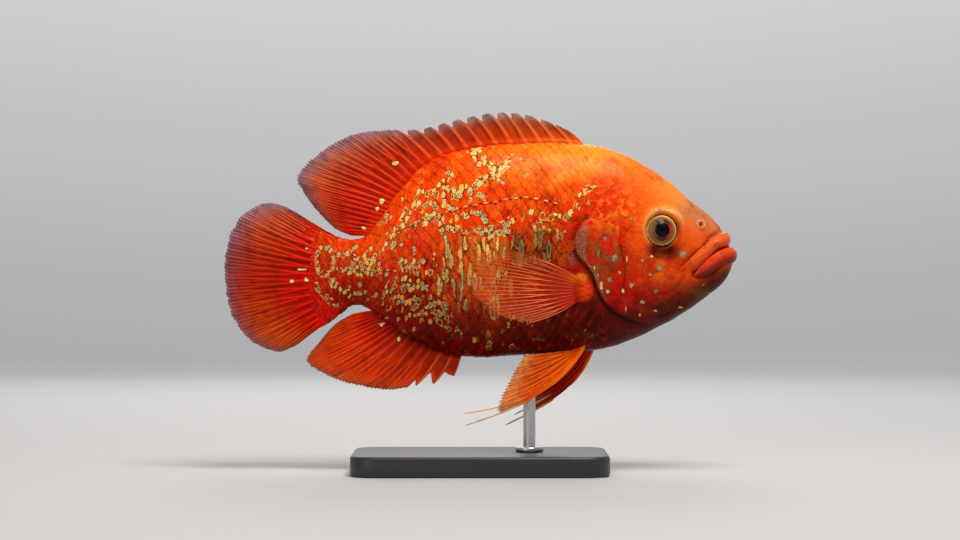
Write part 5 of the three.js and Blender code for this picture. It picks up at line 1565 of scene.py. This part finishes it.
for lip_name, lip_rows in LIPS.items():
    lip, along, around = add_grid("lip_roll_" + lip_name[:5], 150, 48)
    sides = []
    for side in (-1, 1):
        sides.append([(x, side * (float(half_width(x, z)) + out) if out else 0, z, high, deep)
                      for x, z, high, deep, out in lip_rows])
    path = np.array(sides[0] + sides[1][-2::-1])
    at = along * (len(path) - 1)
    here, ahead, behind = (between(path, np.clip(at + step, 0, len(path) - 1)) for step in (0, 0.25, -0.25))
    way = ahead[:, :3] - behind[:, :3]
    way /= np.linalg.norm(way, axis=1, keepdims=True)
    outward = np.stack([here[:, 0] - LIP_AXIS_X, here[:, 1], 0 * at], axis=1)
    outward -= way * np.sum(outward * way, axis=1, keepdims=True)
    outward /= np.linalg.norm(outward, axis=1, keepdims=True)
    across = np.cross(way, outward)
    turn = around * 2 * math.pi
    ends = np.sqrt(np.clip(np.minimum(along, 1 - along) * 9, 0, 1))
    middle = np.abs(along - 0.5) * 2
    wrinkle = 0.05 * np.sin(turn * 9 + 2.2 * np.sin(along * 21)) * smooth_step(0.05, 0.3, middle)
    crease = -0.28 * bell(turn - 1.1 - 0.4 * middle, 0.16) - 0.2 * bell(turn - 5.4, 0.16)
    swell = (1 + 0.015 * np.sin(along * 37) * np.sin(turn * 2)) * ends
    bulge = (wrinkle + crease) * ends
    shape = here[:, :3] + outward * ((here[:, 4] * swell + bulge) * np.cos(turn))[:, None]
    shape += across * ((here[:, 3] * swell + bulge) * np.sin(turn))[:, None]
    shape_piece(lip, shape)
    high_part = smooth_step(-0.6, 0.9, np.sign(across[:, 2]) * np.sin(turn))
    low_tone, high_tone, corner_tone, corner_share = LIP_TONES[lip_name]
    tone = np.tile(dye(low_tone), (len(along), 1))
    # The upper side of each roll is lighter, and its inner side against the head is darkened as painted shade.
    for code, share in (
        (high_tone, high_part), (corner_tone, corner_share * smooth_step(0.45, 1.0, middle)),
        ("7A2010", 0.7 * bell(turn - math.pi, 1.1)),
    ):
        tone += (dye(code) - tone) * share[:, None]
    colour_points(lip, Paint=tone)
    close_piece(lip)
    lip.data.materials.append(lip_finish)
    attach(lip, "root")
    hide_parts(lip_name)

# The eyes: wet domes set in the orbits, a little flatter than balls. From the middle: a black pupil, a thin
# dark red ring, a broad olive iris that turns redder towards the snout and is darkened at its top as painted
# shade of the brow, a bright gold line and a dark rim.
EYE_DEPTH = 5.2
EYE_PROUD = 1.3
EYE_RINGS = [
    (0.0, "010000"), (0.435, "030101"), (0.45, "7C2C28"), (0.475, "300A06"), (0.56, "5C1C08"),
    (0.61, "482008"), (0.66, "6A4A20"), (0.72, "8A6E3A"), (0.8, "7A6030"), (0.85, "C8A468"), (0.89, "EED098"),
    (0.93, "86502C"), (0.965, "4A1A0C"), (1.0, "300A04"),
]
eye_finish, tree, shader = new_finish("eye_glass")
to_rim, to_head, to_top = kept(tree, "Ring").parts()
cloud = object_place(tree).noise(700, 4)
wavy = cloud * 0.09 + (to_rim - 0.045)
ramp = add_node(tree, "ShaderNodeValToRGB", {0: wavy})
stops = ramp.source.color_ramp.elements
stops.remove(stops[1])
for k, (spot_at, code) in enumerate(EYE_RINGS):
    stop = stops[0] if k == 0 else stops.new(spot_at)
    stop.position = spot_at
    stop.color = (*dye(code), 1)
inner = wavy.step(0.455, 0.5) * wavy.step(0.76, 0.66)
colour = blend(cloud.step(0.5, 0.7) * 0.4, ramp, (0.5, 0.4, 0.2), "SOFT_LIGHT")
# The iris's top is darkened as painted shade of the brow.
for turned, code in (
    (to_head.step(0.6, 0.95) * 0.8, "B8380E"), (to_top.step(0.6, 0.9) * 0.75, "30180A"),
    (to_head.step(0.35, 0.1) * 0.5, "8A6840"),
):
    colour = blend(inner * turned, colour, code)
dress(
    shader, Base_Color=colour, Roughness=0.45, Specular_IOR_Level=0.05, Coat_Weight=0.28, Coat_IOR=1.34,
    Coat_Roughness=0.02,
)
for side, word in ((-1, "right"), (1, "left")):
    bpy.ops.object.select_all(action="DESELECT")
    bpy.ops.mesh.primitive_uv_sphere_add(segments=96, ring_count=64, radius=1)
    eye = bpy.context.object
    eye.name = eye.data.name = "eyeball_" + word
    ball = np.empty(len(eye.data.vertices) * 3)
    eye.data.vertices.foreach_get("co", ball)
    ball = ball.reshape(-1, 3)
    flat_far = np.hypot(ball[:, 0], ball[:, 1])
    step = 3
    at_x, at_z = EYE_CENTRE
    slope = float(half_width(at_x + step, at_z) - half_width(at_x - step, at_z)) / (2 * step)
    tilt = float(half_width(at_x, at_z + step) - half_width(at_x, at_z - step)) / (2 * step)
    facing = np.array([-0.4 * slope, side, -0.6 * tilt])
    facing /= np.linalg.norm(facing)
    level = np.cross(np.array([0, 0, 1.0]), facing)
    level /= np.linalg.norm(level)
    upright = np.cross(facing, level)
    centre = np.array([at_x, side * float(half_width(at_x, at_z)), at_z]) + facing * (EYE_PROUD - EYE_DEPTH)
    dome = ball[:, 2] + 0.1 * bell(flat_far, 0.45) * (ball[:, 2] > 0)
    shape = centre + level * (EYE_RADIUS * ball[:, 0:1]) + upright * (EYE_RADIUS * ball[:, 1:2])
    shape_piece(eye, shape + facing * (EYE_DEPTH * dome[:, None]))
    forward, upward = (0.5 + 0.5 * ball[:, k] / np.maximum(flat_far, 0.01) for k in (0, 1))
    colour_points(eye, Ring=(
        np.where(ball[:, 2] > 0, flat_far, 1.0), forward if side < 0 else 1 - forward, upward,
    ))
    close_piece(eye)
    eye.data.materials.append(eye_finish)
    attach(eye, "root")
    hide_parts("eye_" + word)

# The stand: a flat satin black base with rounded corners, and a brushed steel rod on a small foot that
# rises from it to meet the belly.
BASE_SIZE = (0.124, 0.076, 0.01)
BASE_CORNER = 0.012
BASE_EDGE = 0.0015
bpy.ops.object.select_all(action="DESELECT")
bpy.ops.mesh.primitive_cube_add(size=1, location=(0, 0, BASE_SIZE[2] / 2))
base = bpy.context.object
base.name = base.data.name = "display_base"
base.scale = BASE_SIZE
bpy.ops.object.transform_apply(location=True, rotation=True, scale=True)
bpy.ops.object.mode_set(mode="EDIT")
bpy.ops.mesh.select_mode(type="EDGE")
bpy.ops.mesh.select_all(action="DESELECT")
bpy.ops.object.mode_set(mode="OBJECT")
for edge in base.data.edges:
    ends = [base.data.vertices[k].co for k in edge.vertices]
    edge.select = abs(ends[0].z - ends[1].z) > 0.001
bpy.ops.object.mode_set(mode="EDIT")
bpy.ops.mesh.bevel(offset=BASE_CORNER, segments=10, affect="EDGES")
bpy.ops.object.mode_set(mode="OBJECT")
soften = base.modifiers.new("soft_edge", "BEVEL")
soften.width = BASE_EDGE
soften.segments = 3
soften.angle_limit = math.radians(60)
bpy.ops.object.modifier_apply(modifier=soften.name)
bpy.ops.object.shade_smooth_by_angle(angle=math.radians(50))
base_paint, tree, shader = new_finish("satin_black")
speck = object_place(tree).noise(2500)
dress(shader, Base_Color=(0.02, 0.02, 0.022), Roughness=speck * 0.12 + 0.36, Normal=bump(speck, 0.00003))
base.data.materials.append(base_paint)
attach(base, "root")
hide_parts("stand_base")

ROD_X = 0.024
ROD_RADIUS = 0.003
ROD_FOOT = (0.007, 0.0024)
ROD_TOP = 0.0612
ROD_GAP = 0.0002
bpy.ops.object.select_all(action="DESELECT")
rod_bottom = BASE_SIZE[2] + ROD_GAP
bpy.ops.mesh.primitive_cylinder_add(
    vertices=48, radius=ROD_RADIUS, depth=ROD_TOP - rod_bottom,
    location=(ROD_X, 0, (ROD_TOP + rod_bottom) / 2),
)
rod = bpy.context.object
rod.name = rod.data.name = "steel_rod"
bpy.ops.mesh.primitive_cylinder_add(
    vertices=64, radius=ROD_FOOT[0], depth=ROD_FOOT[1], location=(ROD_X, 0, rod_bottom + ROD_FOOT[1] / 2),
)
foot = bpy.context.object
rounding = foot.modifiers.new("rounding", "BEVEL")
rounding.width = 0.0008
rounding.segments = 4
rounding.angle_limit = math.radians(60)
bpy.ops.object.modifier_apply(modifier=rounding.name)
pick(rod, foot)
bpy.ops.object.join()
bpy.ops.object.transform_apply(location=True, rotation=True, scale=True)
bpy.ops.object.shade_smooth_by_angle(angle=math.radians(40))
steel, tree, shader = new_finish("brushed_steel")
stretch = add_node(tree, "ShaderNodeMapping", {"Vector": object_place(tree), "Scale": (1, 1, 40)})
dress(shader, Base_Color=(0.55, 0.55, 0.56), Metallic=1.0, Roughness=stretch.noise(120, 3) * 0.2 + 0.18)
rod.data.materials.append(steel)
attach(rod, "root")
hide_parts("stand_rod")
